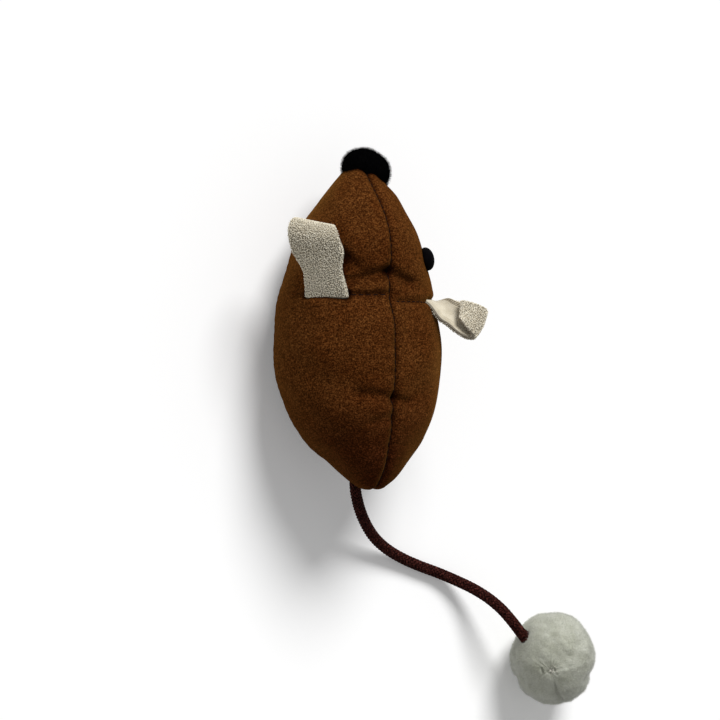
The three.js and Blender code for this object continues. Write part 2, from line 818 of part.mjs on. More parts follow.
add('nose_pompom', noseSolid(), blackPlush, noseCentre);
add('tail_anchor_knot', tailAnchor(), cordBraid, tailExit);
add('tail_cord', tailCord(), cordBraid);
add('tail_pompom_cover', pompomCover(), palePlush, pompomCentre);
add('tail_pompom_stuffing', pompomStuffing(), fibre, pompomCentre);
add('tail_end_knot', endKnot(), cordBraid, pompomCentre);
add('pompom_closing_thread', closingThread(), paleThread, pompomCentre);

export default mouse;
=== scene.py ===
import math

import bpy
import numpy as np
from mathutils import Matrix, Vector


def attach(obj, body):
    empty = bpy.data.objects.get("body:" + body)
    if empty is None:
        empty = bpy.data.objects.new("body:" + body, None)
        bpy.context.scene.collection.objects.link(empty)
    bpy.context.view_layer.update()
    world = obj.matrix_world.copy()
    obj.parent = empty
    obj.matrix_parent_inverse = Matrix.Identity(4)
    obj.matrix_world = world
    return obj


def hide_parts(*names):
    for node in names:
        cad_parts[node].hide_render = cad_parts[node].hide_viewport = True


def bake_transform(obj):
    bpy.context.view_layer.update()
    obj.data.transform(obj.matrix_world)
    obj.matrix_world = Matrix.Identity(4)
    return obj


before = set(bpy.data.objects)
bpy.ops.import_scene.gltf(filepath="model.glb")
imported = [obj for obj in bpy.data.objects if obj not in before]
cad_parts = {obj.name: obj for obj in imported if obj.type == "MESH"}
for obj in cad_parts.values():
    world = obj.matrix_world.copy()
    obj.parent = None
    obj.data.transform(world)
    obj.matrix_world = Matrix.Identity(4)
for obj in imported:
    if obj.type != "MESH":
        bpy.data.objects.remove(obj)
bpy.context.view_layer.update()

# Camera. It looks down on the toy from the mouse's left side, with the nose at the top of the
# picture, through the long lens of a product photograph. Lengths are in metres.
VIEW_TILT = math.radians(30)
VIEW_TARGET = Vector((-0.0005, 0.0111, 0.0247))
VIEW_DISTANCE = 2.0
camera_data = bpy.data.cameras.new("camera")
camera_data.lens = 295
camera_data.sensor_width = 36
scene = bpy.context.scene


def shown(name, data):
    """An object in the scene, made of some data."""
    made = bpy.data.objects.new(name, data)
    scene.collection.objects.link(made)
    return made


camera = shown("camera", camera_data)
view_back = Vector((math.sin(VIEW_TILT), 0, math.cos(VIEW_TILT)))
view_up = Vector((0, -1, 0))
view_right = view_up.cross(view_back)
turn = Matrix((view_right, view_up, view_back)).transposed()
camera.matrix_world = Matrix.Translation(VIEW_TARGET + VIEW_DISTANCE * view_back) @ turn.to_4x4()
scene.camera = camera
scene.view_settings.view_transform = "Standard"

# Light. A broad lamp from above the nose shades the toy towards its tail, and a pale world fills
# the shadows. The world shows white where nothing stands before it.
LAMP_FROM = Vector((-0.08, -0.72, 0.66))
LAMP_STRENGTH = 3.1
LAMP_SPREAD = math.radians(26)
FILL_STRENGTH = 0.28
lamp_data = bpy.data.lights.new("lamp", "SUN")
lamp_data.energy = LAMP_STRENGTH
lamp_data.angle = LAMP_SPREAD
lamp = shown("lamp", lamp_data)
lamp.rotation_mode = "QUATERNION"
lamp.rotation_quaternion = LAMP_FROM.to_track_quat("Z", "Y")
world = bpy.data.worlds.new("world")
world.use_nodes = True
scene.world = world
world_nodes, world_links = world.node_tree.nodes, world.node_tree.links
fill = world_nodes["Background"]
fill.inputs["Strength"].default_value = FILL_STRENGTH
fill.inputs["Color"].default_value = (1, 1, 1, 1)


def by_ray(nodes, links, other, camera_ray):
    """Mixes two shaders: the second is what the camera sees, the first is for all other rays."""
    path, either = nodes.new("ShaderNodeLightPath"), nodes.new("ShaderNodeMixShader")
    links.new(path.outputs["Is Camera Ray"], either.inputs[0])
    links.new(other.outputs[0], either.inputs[1])
    links.new(camera_ray.outputs[0], either.inputs[2])
    return either.outputs[0]


world_seen = by_ray(world_nodes, world_links, fill, world_nodes.new("ShaderNodeBackground"))
world_links.new(world_seen, world_nodes["World Output"].inputs["Surface"])

# Floor. A wide pale sheet under the toy, a little brighter to the camera than the light makes it,
# so that it is near white and keeps the toy's shadow.
FLOOR_HALF = 3
FLOOR_DROP = 0.0001
FLOOR_GREY = 0.9
FLOOR_GLOW = 0.17
floor_mesh = bpy.data.meshes.new("floor")
floor_corners = [
    (x * FLOOR_HALF, y * FLOOR_HALF, -FLOOR_DROP) for x, y in ((-1, -1), (1, -1), (1, 1), (-1, 1))
]
floor_mesh.from_pydata(floor_corners, [], [(0, 1, 2, 3)])
floor = shown("floor", floor_mesh)
floor_paint = bpy.data.materials.new("floor_paint")
floor_paint.use_nodes = True
floor_nodes, floor_links = floor_paint.node_tree.nodes, floor_paint.node_tree.links
floor_nodes.clear()
matt = floor_nodes.new("ShaderNodeBsdfDiffuse")
matt.inputs["Color"].default_value = (FLOOR_GREY, FLOOR_GREY, FLOOR_GREY, 1)
glow = floor_nodes.new("ShaderNodeEmission")
glow.inputs["Strength"].default_value = FLOOR_GLOW
unlit = floor_nodes.new("ShaderNodeEmission")
unlit.inputs["Strength"].default_value = 0
both = floor_nodes.new("ShaderNodeAddShader")
floor_out = floor_nodes.new("ShaderNodeOutputMaterial")
floor_links.new(matt.outputs[0], both.inputs[0])
floor_links.new(by_ray(floor_nodes, floor_links, unlit, glow), both.inputs[1])
floor_links.new(both.outputs[0], floor_out.inputs["Surface"])
floor_mesh.materials.append(floor_paint)

# Tail cord. A round braid of sixteen flat yarns, eight each way, that pass over two and under two
# round a dark core. It leaves the rear seam, drops to the floor and runs in an S to the pompom.
CORD_ROUTE = [
    (0, 0.051, 0.0222), (-0.0006, 0.0539, 0.0212), (-0.0024, 0.0572, 0.0189),
    (-0.0058, 0.0618, 0.0152), (-0.0104, 0.0668, 0.0111), (-0.016, 0.0717, 0.0073),
    (-0.0223, 0.0757, 0.0044), (-0.0295, 0.0792, 0.0027), (-0.0369, 0.0821, 0.0022),
    (-0.0444, 0.0847, 0.0025), (-0.0506, 0.0874, 0.0043), (-0.0558, 0.0903, 0.0074),
    (-0.0596, 0.0934, 0.0109), (-0.0629, 0.097, 0.0139), (-0.0662, 0.1012, 0.0157),
    (-0.0698, 0.1056, 0.0162),
]
CORD_DIAMETER = 0.004
CORD_TUCK = 0.003
CORD_END_TUCK = 0.0055
YARNS_EACH_WAY = 8
BRAID_PITCH = 0.0118
YARN_STEP = 0.00045
YARN_HALF_WIDTH = 0.00043
YARN_HALF_THICKNESS = 0.00023
YARN_WEAVE = 0.00017
YARN_SIDES = 8
CORE_RADIUS = 0.00135
CORE_SIDES = 12
CURVE_STEPS = 40


def spline(a, b, c, d, share):
    """A smooth curve from b to c, steered by the points a and d beyond them."""
    return (b + share * (c - a) / 2 + share**2 * (a - 2.5 * b + 2 * c - d / 2)
            + share**3 * (1.5 * (b - c) + (d - a) / 2))


def run_of(line):
    """How far along a line each of its points lies."""
    return np.concatenate([[0], np.cumsum(np.linalg.norm(np.diff(line, axis=0), axis=1))])


def read_at(at, run, rows):
    """Rows of places or ways, read at other runs along their line."""
    return np.stack([np.interp(at, run, rows[:, k]) for k in range(3)], axis=-1)


def through(points, spacing):
    """A smooth curve through the points, as points at an even spacing."""
    points = np.array(points, float)
    ends = np.vstack([2 * points[0] - points[1], points, 2 * points[-1] - points[-2]])
    share = np.linspace(0, 1, CURVE_STEPS, endpoint=False)[:, None]
    curve = [spline(*four, share) for four in zip(ends, ends[1:], ends[2:], ends[3:])]
    curve = np.vstack([*curve, points[-1:]])
    run = run_of(curve)
    at = np.linspace(0, run[-1], max(2, round(run[-1] / spacing)) + 1)
    return read_at(at, run, curve)


def unit(vectors):
    return vectors / np.linalg.norm(vectors, axis=-1, keepdims=True)


def joined(rings):
    """Quads between closed rings of points, each ring joined to the next."""
    beside = np.roll(rings, -1, axis=-1)
    corners = [rings[..., :-1, :], beside[..., :-1, :], beside[..., 1:, :], rings[..., 1:, :]]
    return np.stack(corners, axis=-1).reshape(-1, 4)


def swept(centres, across, over, sides):
    """Tubes with oval sections: centres, and the two half axes, for each tube and station."""
    tubes, stations = centres.shape[:2]
    angle = 2 * np.pi * np.arange(sides) / sides
    points = (centres[:, :, None] + across[:, :, None] * np.cos(angle)[:, None]
              + over[:, :, None] * np.sin(angle)[:, None])
    index = np.arange(tubes * stations * sides).reshape(tubes, stations, sides)
    caps = [row[::-1].tolist() for row in index[:, 0]] + [row.tolist() for row in index[:, -1]]
    return points.reshape(-1, 3), joined(index).tolist() + caps


def laid(lines, out, half_width, half_thickness, sides):
    """Yarns or threads laid along lines, given the ways out from what they lie on."""
    heading = unit(np.gradient(lines, axis=1))
    across = unit(np.cross(heading, out))
    return swept(lines, half_width * across, half_thickness * np.cross(across, heading), sides)


def together(first, second):
    """Two meshes as one, each given as its points and its faces."""
    shift = len(first[0])
    moved = [[vertex + shift for vertex in face] for face in second[1]]
    return np.vstack([first[0], second[0]]), first[1] + moved


def piece(name, mesh, body, finish, node):
    """A smooth piece, from its points and faces, that rides on a body and stands for a node."""
    data = bpy.data.meshes.new(name)
    data.from_pydata(mesh[0].tolist(), [], mesh[1])
    data.shade_smooth()
    data.materials.append(finish.material)
    made = shown(name, data)
    if body:
        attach(made, body)
    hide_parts(node)
    return made


def refinished(made, first_face, finish):
    """Gives a piece's faces, from one of them on, a second finish."""
    made.data.materials.append(finish.material)
    for polygon in made.data.polygons[first_face:]:
        polygon.material_index = 1


WHITE = (1.0, 1.0, 1.0)
CREASE_SAMPLES = 12
CREASE_SHARES = (0.55, 0.95)


class Finish:
    """A material whose nodes read places in millimetres on the piece itself.

    The mottling is what mottled takes. Each bump is a noise's size and detail, the bump's depth in
    millimetres, and a stretch if it has one. The sheen is a weight, a roughness and a tint.
    """

    def __init__(self, name, roughness, mottling=None, bumps=(), gloss=None, sheen=None):
        self.material = bpy.data.materials.new(name)
        self.material.use_nodes = True
        self.nodes, self.links = self.material.node_tree.nodes, self.material.node_tree.links
        self.shader = self.nodes["Principled BSDF"]
        self.shader.inputs["Roughness"].default_value = roughness
        self.place = self.nodes.new("ShaderNodeMapping")
        self.place.inputs["Scale"].default_value = (1000, 1000, 1000)
        places = self.nodes.new("ShaderNodeTexCoord")
        self.link(places.outputs["Object"], self.place.inputs["Vector"])
        if mottling:
            self.colour(self.mottled(*mottling))
        self.bump(bumps)
        if gloss is not None:
            self.shader.inputs["Specular IOR Level"].default_value = gloss
        if sheen:
            self.shader.inputs["Sheen Weight"].default_value = sheen[0]
            self.shader.inputs["Sheen Roughness"].default_value = sheen[1]
            self.shader.inputs["Sheen Tint"].default_value = (*sheen[2], 1)

    def link(self, source, target):
        self.links.new(source, target)

    def noise(self, size, detail=2.0, stretch=None):
        """Soft noise whose grains are about size millimetres wide."""
        texture = self.nodes.new("ShaderNodeTexNoise")
        texture.inputs["Scale"].default_value = 1 / size
        texture.inputs["Detail"].default_value = detail
        source = self.place.outputs[0]
        if stretch:
            pulled = self.nodes.new("ShaderNodeMapping")
            pulled.inputs["Scale"].default_value = stretch
            self.link(source, pulled.inputs["Vector"])
            source = pulled.outputs[0]
        self.link(source, texture.inputs["Vector"])
        return texture.outputs["Fac"]

    def between(self, axis, start, end):
        """A share that rises from 0 to 1 between two places, in millimetres, along X, Y or Z."""
        parts = self.nodes.new("ShaderNodeSeparateXYZ")
        self.link(self.place.outputs[0], parts.inputs[0])
        span = self.nodes.new("ShaderNodeMapRange")
        span.interpolation_type = "SMOOTHSTEP"
        span.inputs["From Min"].default_value = start
        span.inputs["From Max"].default_value = end
        self.link(parts.outputs[axis], span.inputs["Value"])
        return span.outputs["Result"]

    def ramp(self, value, stops):
        """Colours, or greys, at shares of a value."""
        node = self.nodes.new("ShaderNodeValToRGB")
        elements = node.color_ramp.elements
        for _ in stops[2:]:
            elements.new(0.5)
        for element, (share, colour) in zip(elements, stops):
            element.position = share
            element.color = (*(colour if isinstance(colour, tuple) else (colour,) * 3), 1)
        self.link(value, node.inputs["Fac"])
        return node.outputs["Color"]

    def mottled(self, size, detail, dark, light, shares=(0.3, 0.7), stretch=None):
        """Two colours, or greys, that run into each other in grains about size millimetres wide."""
        return self.ramp(self.noise(size, detail, stretch), list(zip(shares, (dark, light))))

    def mix(self, share, first, second, blend="MIX"):
        node = self.nodes.new("ShaderNodeMix")
        node.data_type = "RGBA"
        node.blend_type = blend
        if isinstance(share, float):
            node.inputs["Factor"].default_value = share
        else:
            self.link(share, node.inputs["Factor"])
        self.link(first, node.inputs["A"])
        self.link(second, node.inputs["B"])
        return node.outputs["Result"]

    def painted_crease_shade(self, reach, darkest):
        """Painted shade: white that falls to a darkest colour where faces crowd within reach
        millimetres.
        """
        near = self.nodes.new("ShaderNodeAmbientOcclusion")
        near.samples = CREASE_SAMPLES
        near.inputs["Distance"].default_value = reach / 1000
        return self.ramp(near.outputs["AO"], list(zip(CREASE_SHARES, (darkest, WHITE))))

    def colour(self, source):
        self.link(source, self.shader.inputs["Base Color"])

    def bump(self, bumps):
        """Bumps one over the other, the last on top."""
        below = None
        for size, detail, depth, *stretch in bumps:
            node = self.nodes.new("ShaderNodeBump")
            node.inputs["Distance"].default_value = depth / 1000
            self.link(self.noise(size, detail, *stretch), node.inputs["Height"])
            if below:
                self.link(below, node.inputs["Normal"])
            below = node.outputs["Normal"]
        if below:
            self.link(below, self.shader.inputs["Normal"])

    def soaked(self, weight, reach):
        """Lets light into the surface and out again within about reach metres."""
        self.shader.inputs["Subsurface Weight"].default_value = weight
        self.shader.inputs["Subsurface Scale"].default_value = reach
        self.shader.inputs["Subsurface Radius"].default_value = WHITE


tail_yarn = Finish("tail_yarn", 0.8, bumps=[(0.12, 2, 0.05)], gloss=0.04)
tail_yarn.colour(tail_yarn.mix(
    tail_yarn.mottled(0.45, 3, 0.0, 1.0, (0.42, 0.62)),
    tail_yarn.mottled(1.6, 2, (0.0035, 0.0009, 0.0008), (0.012, 0.0024, 0.002), (0.35, 0.7)),
    tail_yarn.mottled(0.9, 2, (0.02, 0.0045, 0.0035), (0.12, 0.032, 0.024), (0.3, 0.75)),
))
tail_core = Finish("tail_core", 0.9, (0.4, 2, (0.004, 0.0015, 0.001), (0.01, 0.004, 0.003)))


def beyond(end, before, reach):
    """The place that lies a reach past the end of a line, straight on from the point before it."""
    end, before = np.array(end), np.array(before)
    return end + reach * unit(end - before)


cord_line = through([
    beyond(*CORD_ROUTE[:2], CORD_TUCK), *CORD_ROUTE, beyond(*CORD_ROUTE[:-3:-1], CORD_END_TUCK),
], YARN_STEP)
cord_length = float(np.linalg.norm(np.diff(cord_line, axis=0), axis=1).sum())
along = unit(np.gradient(cord_line, axis=0))
side_way = np.zeros_like(along)
side_way[0] = unit(np.cross(along[0], (0, 0, 1)))
for i in range(1, len(along)):
    side_way[i] = unit(side_way[i - 1] - along[i] * side_way[i - 1].dot(along[i]))
top_way = np.cross(along, side_way)
run = np.linspace(0, cord_length, len(cord_line))
way = np.repeat((1, -1), YARNS_EACH_WAY)[:, None]
start = np.tile(np.arange(YARNS_EACH_WAY), 2)[:, None]
angle = 2 * np.pi * (start / YARNS_EACH_WAY + way * run / BRAID_PITCH)
met = 2 * start + way * 2 * YARNS_EACH_WAY * run / BRAID_PITCH
lift_share = math.sqrt(2) * np.cos(np.pi * (met - 0.5) / 2)
out = np.cos(angle)[..., None] * side_way + np.sin(angle)[..., None] * top_way
sunk = YARN_WEAVE * (1 - way * np.clip(lift_share, -1, 1))
yarn_lines = cord_line + (CORD_DIAMETER / 2 - YARN_HALF_THICKNESS - sunk)[..., None] * out
yarns = laid(yarn_lines, out, YARN_HALF_WIDTH, YARN_HALF_THICKNESS, YARN_SIDES)
core = swept(cord_line[None], CORE_RADIUS * side_way[None], CORE_RADIUS * top_way[None], CORE_SIDES)
tail_braid = piece("tail_braid", together(yarns, core), None, tail_yarn, "tail_cord")
refinished(tail_braid, len(yarns[1]), tail_core)
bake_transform(tail_braid)

# Body cloth. Three panels of brushed brown cloth: two sides that meet in the back seam, and the
# belly. The seams pull the cloth in, and the dart that holds the ears crosses the back.
SIDES = (("left", 1), ("right", -1))
BODY_LENGTH = 0.11
BODY_HALF_WIDTH = 0.029
GIRTH_HEIGHT = 0.0247
BACK_RISE = 0.0254
HEAD_RISE = 0.0065
HEAD_SHARES = (0.2, 0.4)
REAR_LIFT = 0.0098
REAR_LIFT_SHARE = 0.63
REAR_LIFT_POWER = 1.8
REST_DEPTH = 0.0005
UNDER_POWER = 1.4
UNDER_SQUARENESS = 0.8
LEFT_TAPER = 0.07
LEFT_TAPER_SHARES = (0.3, 0.8)
CLOTH = 0.0011
GIRTH_SHARES = np.array([
    (0, 0), (0.008, 0.1), (0.03, 0.19), (0.062, 0.3), (0.11, 0.45), (0.2, 0.655), (0.3, 0.79),
    (0.42, 0.925), (0.52, 0.985), (0.62, 1), (0.71, 0.945), (0.8, 0.805), (0.88, 0.61),
    (0.945, 0.385), (0.985, 0.17), (1, 0),
])
BELLY_SEAM_HEIGHT = 0.008
BELLY_SEAM_FRONT_RISE = 0.009
BELLY_SEAM_REAR_RISE = 0.02
BELLY_SEAM_POWER = 4
SEAM_DEPTH = 0.001
SEAM_WIDTH = 0.0009
SEAM_SHARPNESS = 1.3
ROLL_HEIGHT = 0.00018
ROLL_OFF = 0.0026
ROLL_WIDTH = 0.0014
# The dart: shares of the body's length, and angles from the back over to each side.
DIP_SHARE = 0.41
DIP_REACH = 0.05
DART_DIP = 0.002
DART_SHARES = {1: 0.401, -1: 0.421}
DART_START = math.radians(8)
DART_END, DART_FADE = math.radians(84), math.radians(93)
EAR_INNER, EAR_OUTER = math.radians(34), math.radians(70)
SLOT_INNER = {1: math.radians(34), -1: math.radians(45)}
SLOT_EASE = 0.06
EAR_SLOT_DEPTH = 0.0012
EAR_SLOT_WIDTH = 0.0012
# The mesh: its rows and columns, drawn towards their ends by a crowding, and the shares of the body
# at which the side panels end.
PANEL_ROWS = 240
PANEL_COLUMNS = 96
ROW_CROWDING = 0.35
COLUMN_CROWDING = 0.55
BELLY_CROWDING = 0.5
SIDE_ENDS = (0.002, 0.9995)
TABLE_SIZE = 4001
SLOPE_STEP = 1e-3
HALVINGS = 30
NO_BELLY_ANGLE = np.pi - 1e-4


def girth_at(t):
    """Shares of the length and the girth, at a place from 0 at the nose to 1 at the rear."""
    last = len(GIRTH_SHARES) - 1
    place = np.clip(np.asarray(t, float), 0, 1) * last
    first = np.minimum(place.astype(int), last - 1)
    w = (place - first)[..., None]
    got = spline(*(GIRTH_SHARES[np.clip(first + k, 0, last)] for k in (-1, 0, 1, 2)), w)
    return got[..., 0], np.maximum(got[..., 1], 0)


def eased(value, low, high):
    share = np.clip((value - low) / (high - low), 0, 1)
    return share * share * (3 - 2 * share)


def bell(off, width, power=2):
    """A share that falls from 1 to about a third where something is off by a width."""
    return np.exp(-((off / width) ** power))


def body_point(t, angle):
    """The smooth form: angle runs from the back over the mouse's left side."""
    t, angle = np.broadcast_arrays(np.asarray(t, float), np.asarray(angle, float))
    share, girth = girth_at(t)
    rear = np.maximum((share - REAR_LIFT_SHARE) / (1 - REAR_LIFT_SHARE), 0)
    middle = GIRTH_HEIGHT + REAR_LIFT * rear**REAR_LIFT_POWER
    dip = bell(share - DIP_SHARE, DIP_REACH)
    rise = (BACK_RISE + HEAD_RISE * (1 - eased(share, *HEAD_SHARES)) - DART_DIP * dip) * girth
    drop = (GIRTH_HEIGHT + REST_DEPTH) * (1 - (1 - np.minimum(girth, 1)) ** UNDER_POWER)
    side, up = np.sin(angle), np.cos(angle)
    bend = np.where(up < 0, UNDER_SQUARENESS, 1)
    height = np.where(up < 0, -drop * np.abs(up) ** bend, rise * up)
    taper = 1 - LEFT_TAPER * eased(share, *LEFT_TAPER_SHARES) * np.maximum(side, 0)
    x = BODY_HALF_WIDTH * girth * taper * np.sign(side) * np.abs(side) ** bend
    return np.stack([x, BODY_LENGTH * (share - 0.5), middle + height], axis=-1)


def body_step(t, angle):
    """How the smooth form moves over two small steps: along the body, and round it."""
    inside = np.clip(t, SLOPE_STEP, 1 - SLOPE_STEP)
    along = body_point(inside + SLOPE_STEP, angle) - body_point(inside - SLOPE_STEP, angle)
    return along, body_point(inside, angle + SLOPE_STEP) - body_point(inside, angle - SLOPE_STEP)


def body_normal(t, angle):
    along, around = body_step(t, angle)
    return unit(np.cross(around, along) + 1e-15)


share_table = np.linspace(0, 1, TABLE_SIZE)


def place_at(share):
    return np.interp(share, girth_at(share_table)[0], share_table)


def belly_seam_height(y):
    offset = 2 * y / BODY_LENGTH
    rise = np.where(offset < 0, BELLY_SEAM_FRONT_RISE, BELLY_SEAM_REAR_RISE)
    return BELLY_SEAM_HEIGHT + rise * np.abs(offset) ** BELLY_SEAM_POWER


def belly_seam_angle(t):
    """The angle at which the belly seam crosses each place, half a turn where it doesn't reach."""
    high, low = np.full_like(t, np.pi / 2), np.full_like(t, np.pi)
    for _ in range(HALVINGS):
        middle = (high + low) / 2
        point = body_point(t, middle)
        above = point[..., 2] > belly_seam_height(point[..., 1])
        high, low = np.where(above, middle, high), np.where(above, low, middle)
    return (high + low) / 2


dart_places = {side: float(place_at(share)) for side, share in DART_SHARES.items()}

# Folds that the seams and the stuffing draw in the cloth: from, to, as places in millimetres across
# and along the back, then depth and width. A fold with a negative depth is a ridge.
FOLDS = [
    ((13, -15.6), (1.2, -18.4), 2.0, 2.1), ((1.2, -18.4), (-8.5, -14.8), 1.9, 2.0),
    ((17, -23.5), (12, -20), 1.9, 2.8), ((-0.5, 24.4), (-6.5, 25.4), 1.2, 1.5),
    ((0.5, 24), (12, 22.5), 1.4, 2.0), ((0.5, 30.5), (7, 32), 1.1, 1.7),
    ((-0.5, 19), (-5, 18.4), 0.22, 1), ((0.5, 15.4), (6, 15), 0.18, 1.1),
    ((-0.5, 3), (-5.5, 2.4), 0.2, 1.2), ((0.5, 6.6), (5, 7.4), 0.2, 1.1),
    ((-0.5, 34), (-5, 35), 0.25, 1), ((0.5, 40), (4.5, 41.2), 0.25, 1),
    ((3, -13.2), (12, -12.4), -0.25, 1.6), ((-3, -13.4), (-10, -12), -0.25, 1.6),
    ((26, 24), (18, 37), 0.3, 2.6), ((-27, 20), (-20, 36), 0.3, 2.4), ((15, 44), (9, 51), 1.4, 5),
]
FOLD_HEIGHTS = (0.5 * GIRTH_HEIGHT, 0.9 * GIRTH_HEIGHT)
LUMP_COUNT = 14
LUMP_LENGTHS = (0.011, 0.03)
LUMP_DEPTH = 0.00022
PUCKER_PITCH = 0.0034
PUCKER_DRIFT = 1.3
PUCKER_DRIFT_PITCHES = 3.1
PUCKER_DEPTH = 0.00014
PUCKER_REACH = 0.003
lump_chance = np.random.default_rng(7)
lump_ways = unit(lump_chance.normal(size=(LUMP_COUNT, 3)))
lump_sizes = lump_chance.uniform(*LUMP_LENGTHS, LUMP_COUNT)
lump_starts = lump_chance.uniform(0, 2 * np.pi, LUMP_COUNT)


def off_line(places, start, stop):
    """How far flat places lie from the straight line between two of their kind."""
    start, way = np.array(start), np.subtract(stop, start)
    share = np.clip((places - start) @ way / way.dot(way), 0, 1)
    return np.linalg.norm(places - start - share[..., None] * way, axis=-1)


def fold_relief(points):
    """How far folds and lumps move the cloth, outwards, in metres."""
    relief = np.zeros(points.shape[:-1])
    high = eased(points[..., 2], *FOLD_HEIGHTS)
    for start, stop, depth, width in FOLDS:
        off = off_line(points[..., :2] * 1000, start, stop)
        relief -= depth / 1000 * bell(off, width) * high
    each = LUMP_DEPTH / math.sqrt(LUMP_COUNT / 4)
    for way, size, start in zip(lump_ways, lump_sizes, lump_starts):
        relief += each * np.sin(2 * np.pi * points @ way / size + start)
    return relief


def pucker(run, off):
    """Small gathers that run out from a seam, at a distance off it."""
    turns = 2 * np.pi * run / PUCKER_PITCH
    wave = np.cos(turns + PUCKER_DRIFT * np.sin(turns / PUCKER_DRIFT_PITCHES))
    return PUCKER_DEPTH * wave * np.exp(-off / PUCKER_REACH) * np.minimum(off / SEAM_WIDTH, 1)


def seam_relief(off, run):
    """The valley that a seam pulls into the cloth, with its gathers."""
    roll = ROLL_HEIGHT * bell(off - ROLL_OFF, ROLL_WIDTH)
    return roll + pucker(run, off) - SEAM_DEPTH * bell(off, SEAM_WIDTH, SEAM_SHARPNESS)


def cloth_point(t, angle, depth=0.0):
    """The finished cloth at a place: the smooth form with its seams, folds and lumps."""
    t, angle = np.broadcast_arrays(np.asarray(t, float), np.asarray(angle, float))
    point, normal = body_point(t, angle), body_normal(t, angle)
    away = np.abs(angle)
    seam_angle = belly_seam_angle(t)
    no_belly = seam_angle > NO_BELLY_ANGLE
    past, short = (body_point(t, seam_angle + step) for step in (SLOPE_STEP, -SLOPE_STEP))
    speed_round = np.linalg.norm(past - short, axis=-1) / SLOPE_STEP / 2
    speed_along = np.linalg.norm(body_step(t, angle)[0], axis=-1) / SLOPE_STEP / 2
    off_belly = np.where(no_belly, 1, np.abs(away - seam_angle) * speed_round)
    off_back = np.where((away < np.pi / 2) | no_belly, np.abs(point[..., 0]), 1)
    off_dart = np.abs(t - np.where(angle > 0, dart_places[1], dart_places[-1])) * speed_along
    dart_share = eased(away, 0, DART_START) * (1 - eased(away, DART_END, DART_FADE))
    slot_inner = np.where(angle > 0, SLOT_INNER[1], SLOT_INNER[-1])
    slot_share = eased(away, slot_inner - SLOT_EASE, slot_inner)
    slot_share = slot_share * (1 - eased(away, EAR_OUTER, EAR_OUTER + SLOT_EASE))
    relief = seam_relief(off_back, point[..., 1]) + seam_relief(off_belly, point[..., 1])
    relief += dart_share * seam_relief(off_dart, point[..., 0])
    relief -= slot_share * EAR_SLOT_DEPTH * bell(off_dart, EAR_SLOT_WIDTH)
    relief += fold_relief(point)
    placed = point + normal * (relief - depth)[..., None]
    placed[..., 2] = np.maximum(placed[..., 2], depth)
    return placed


def crowded(count, ends):
    """Shares from 0 to 1, drawn towards both ends."""
    even = np.linspace(0, 1, count + 1)
    return (1 - ends) * even + ends * (1 - np.cos(np.pi * even)) / 2


def cloth_panel(name, node, rows, angle):
    """A closed shell of cloth: rows of places, each with angles from one seam to the next."""
    outer = cloth_point(rows[:, None], angle)
    inner = cloth_point(rows[:, None], angle, CLOTH)
    rings = np.concatenate([outer, inner[:, ::-1]], axis=1)
    index = np.arange(rings.shape[0] * rings.shape[1]).reshape(rings.shape[:2])
    quads = joined(index)
    if angle[len(angle) // 2, -1] < angle[len(angle) // 2, 0]:
        quads = quads[:, ::-1]
    caps = []
    half = angle.shape[1]
    for row, turned in ((index[0], False), (index[-1], True)):
        for j in range(half - 1):
            cap = [row[j], row[2 * half - 1 - j], row[2 * half - 2 - j], row[j + 1]]
            caps.append([int(v) for v in (cap[::-1] if turned else cap)])
    mesh = rings.reshape(-1, 3), quads.tolist() + caps
    piece(name, mesh, "body", brown_cloth, node)


# The colour darkens towards the rear between two places along the body as painted shade, and
# painted shade darkens the creases where the cloth comes within a reach of itself, all in
# millimetres.
REAR_PAINTED_SHADE_SPAN = (14, 50)
CREASE_REACH = 7
brown_cloth = Finish(
    "brown_cloth", 0.95, bumps=[(0.5, 2, 0.09, (0.3, 1.0, 0.3)), (0.35, 3, 0.12)],
    gloss=0.0, sheen=(0.15, 0.5, (0.8, 0.38, 0.08)),
)
nap = brown_cloth.ramp(
    brown_cloth.noise(0.5, 3),
    [(0.36, (0.033, 0.009, 0.002)), (0.5, (0.088, 0.0275, 0.006)), (0.66, (0.185, 0.071, 0.018))],
)
tufts = brown_cloth.mottled(1.1, 3, (0.66, 0.6, 0.58), WHITE, (0.36, 0.6))
cross_lines = brown_cloth.mottled(0.5, 2, 0.76, 1.0, (0.38, 0.56), (0.2, 1.0, 0.2))
blotches = brown_cloth.mottled(9, 3, (0.84, 0.72, 0.66), WHITE, (0.32, 0.64))
to_rear = brown_cloth.between("Y", *REAR_PAINTED_SHADE_SPAN)
# Painted shade: the cloth's colour darkens towards the rear, where it turns away from the lamp.
rear_painted_shade = brown_cloth.ramp(to_rear, [(0, WHITE), (1, (0.5, 0.35, 0.48))])
# Painted shade: the colour darkens in the creases and valleys where the cloth comes near itself.
crease_shade = brown_cloth.painted_crease_shade(CREASE_REACH, (0.2, 0.1, 0.14))
for layer in (tufts, cross_lines, blotches, rear_painted_shade, crease_shade):
    nap = brown_cloth.mix(1.0, nap, layer, "MULTIPLY")
brown_cloth.colour(nap)

half_rows = crowded(PANEL_ROWS // 2, ROW_CROWDING)
side_columns = crowded(PANEL_COLUMNS, COLUMN_CROWDING)
for word, side in SIDES:
    dart = dart_places[side]
    side_rows = np.concatenate([half_rows[:-1] * dart, dart + half_rows * (1 - dart)])
    side_rows[0], side_rows[-1] = SIDE_ENDS
    cloth_panel(
        f"{word}_side_cloth", f"side_panel_{word}", side_rows,
        side * side_columns * belly_seam_angle(side_rows)[:, None],
    )

reached = share_table[belly_seam_angle(share_table) < NO_BELLY_ANGLE]
belly_front, belly_rear = reached[0], reached[-1]
belly_rows = crowded(PANEL_ROWS // 2, BELLY_CROWDING)
belly_rows = belly_front + belly_rows * (belly_rear - belly_front)
belly_columns = 2 * crowded(PANEL_COLUMNS, BELLY_CROWDING) - 1
cloth_panel(
    "belly_cloth", "belly_panel", belly_rows,
    np.pi + belly_columns * (np.pi - belly_seam_angle(belly_rows))[:, None],
)

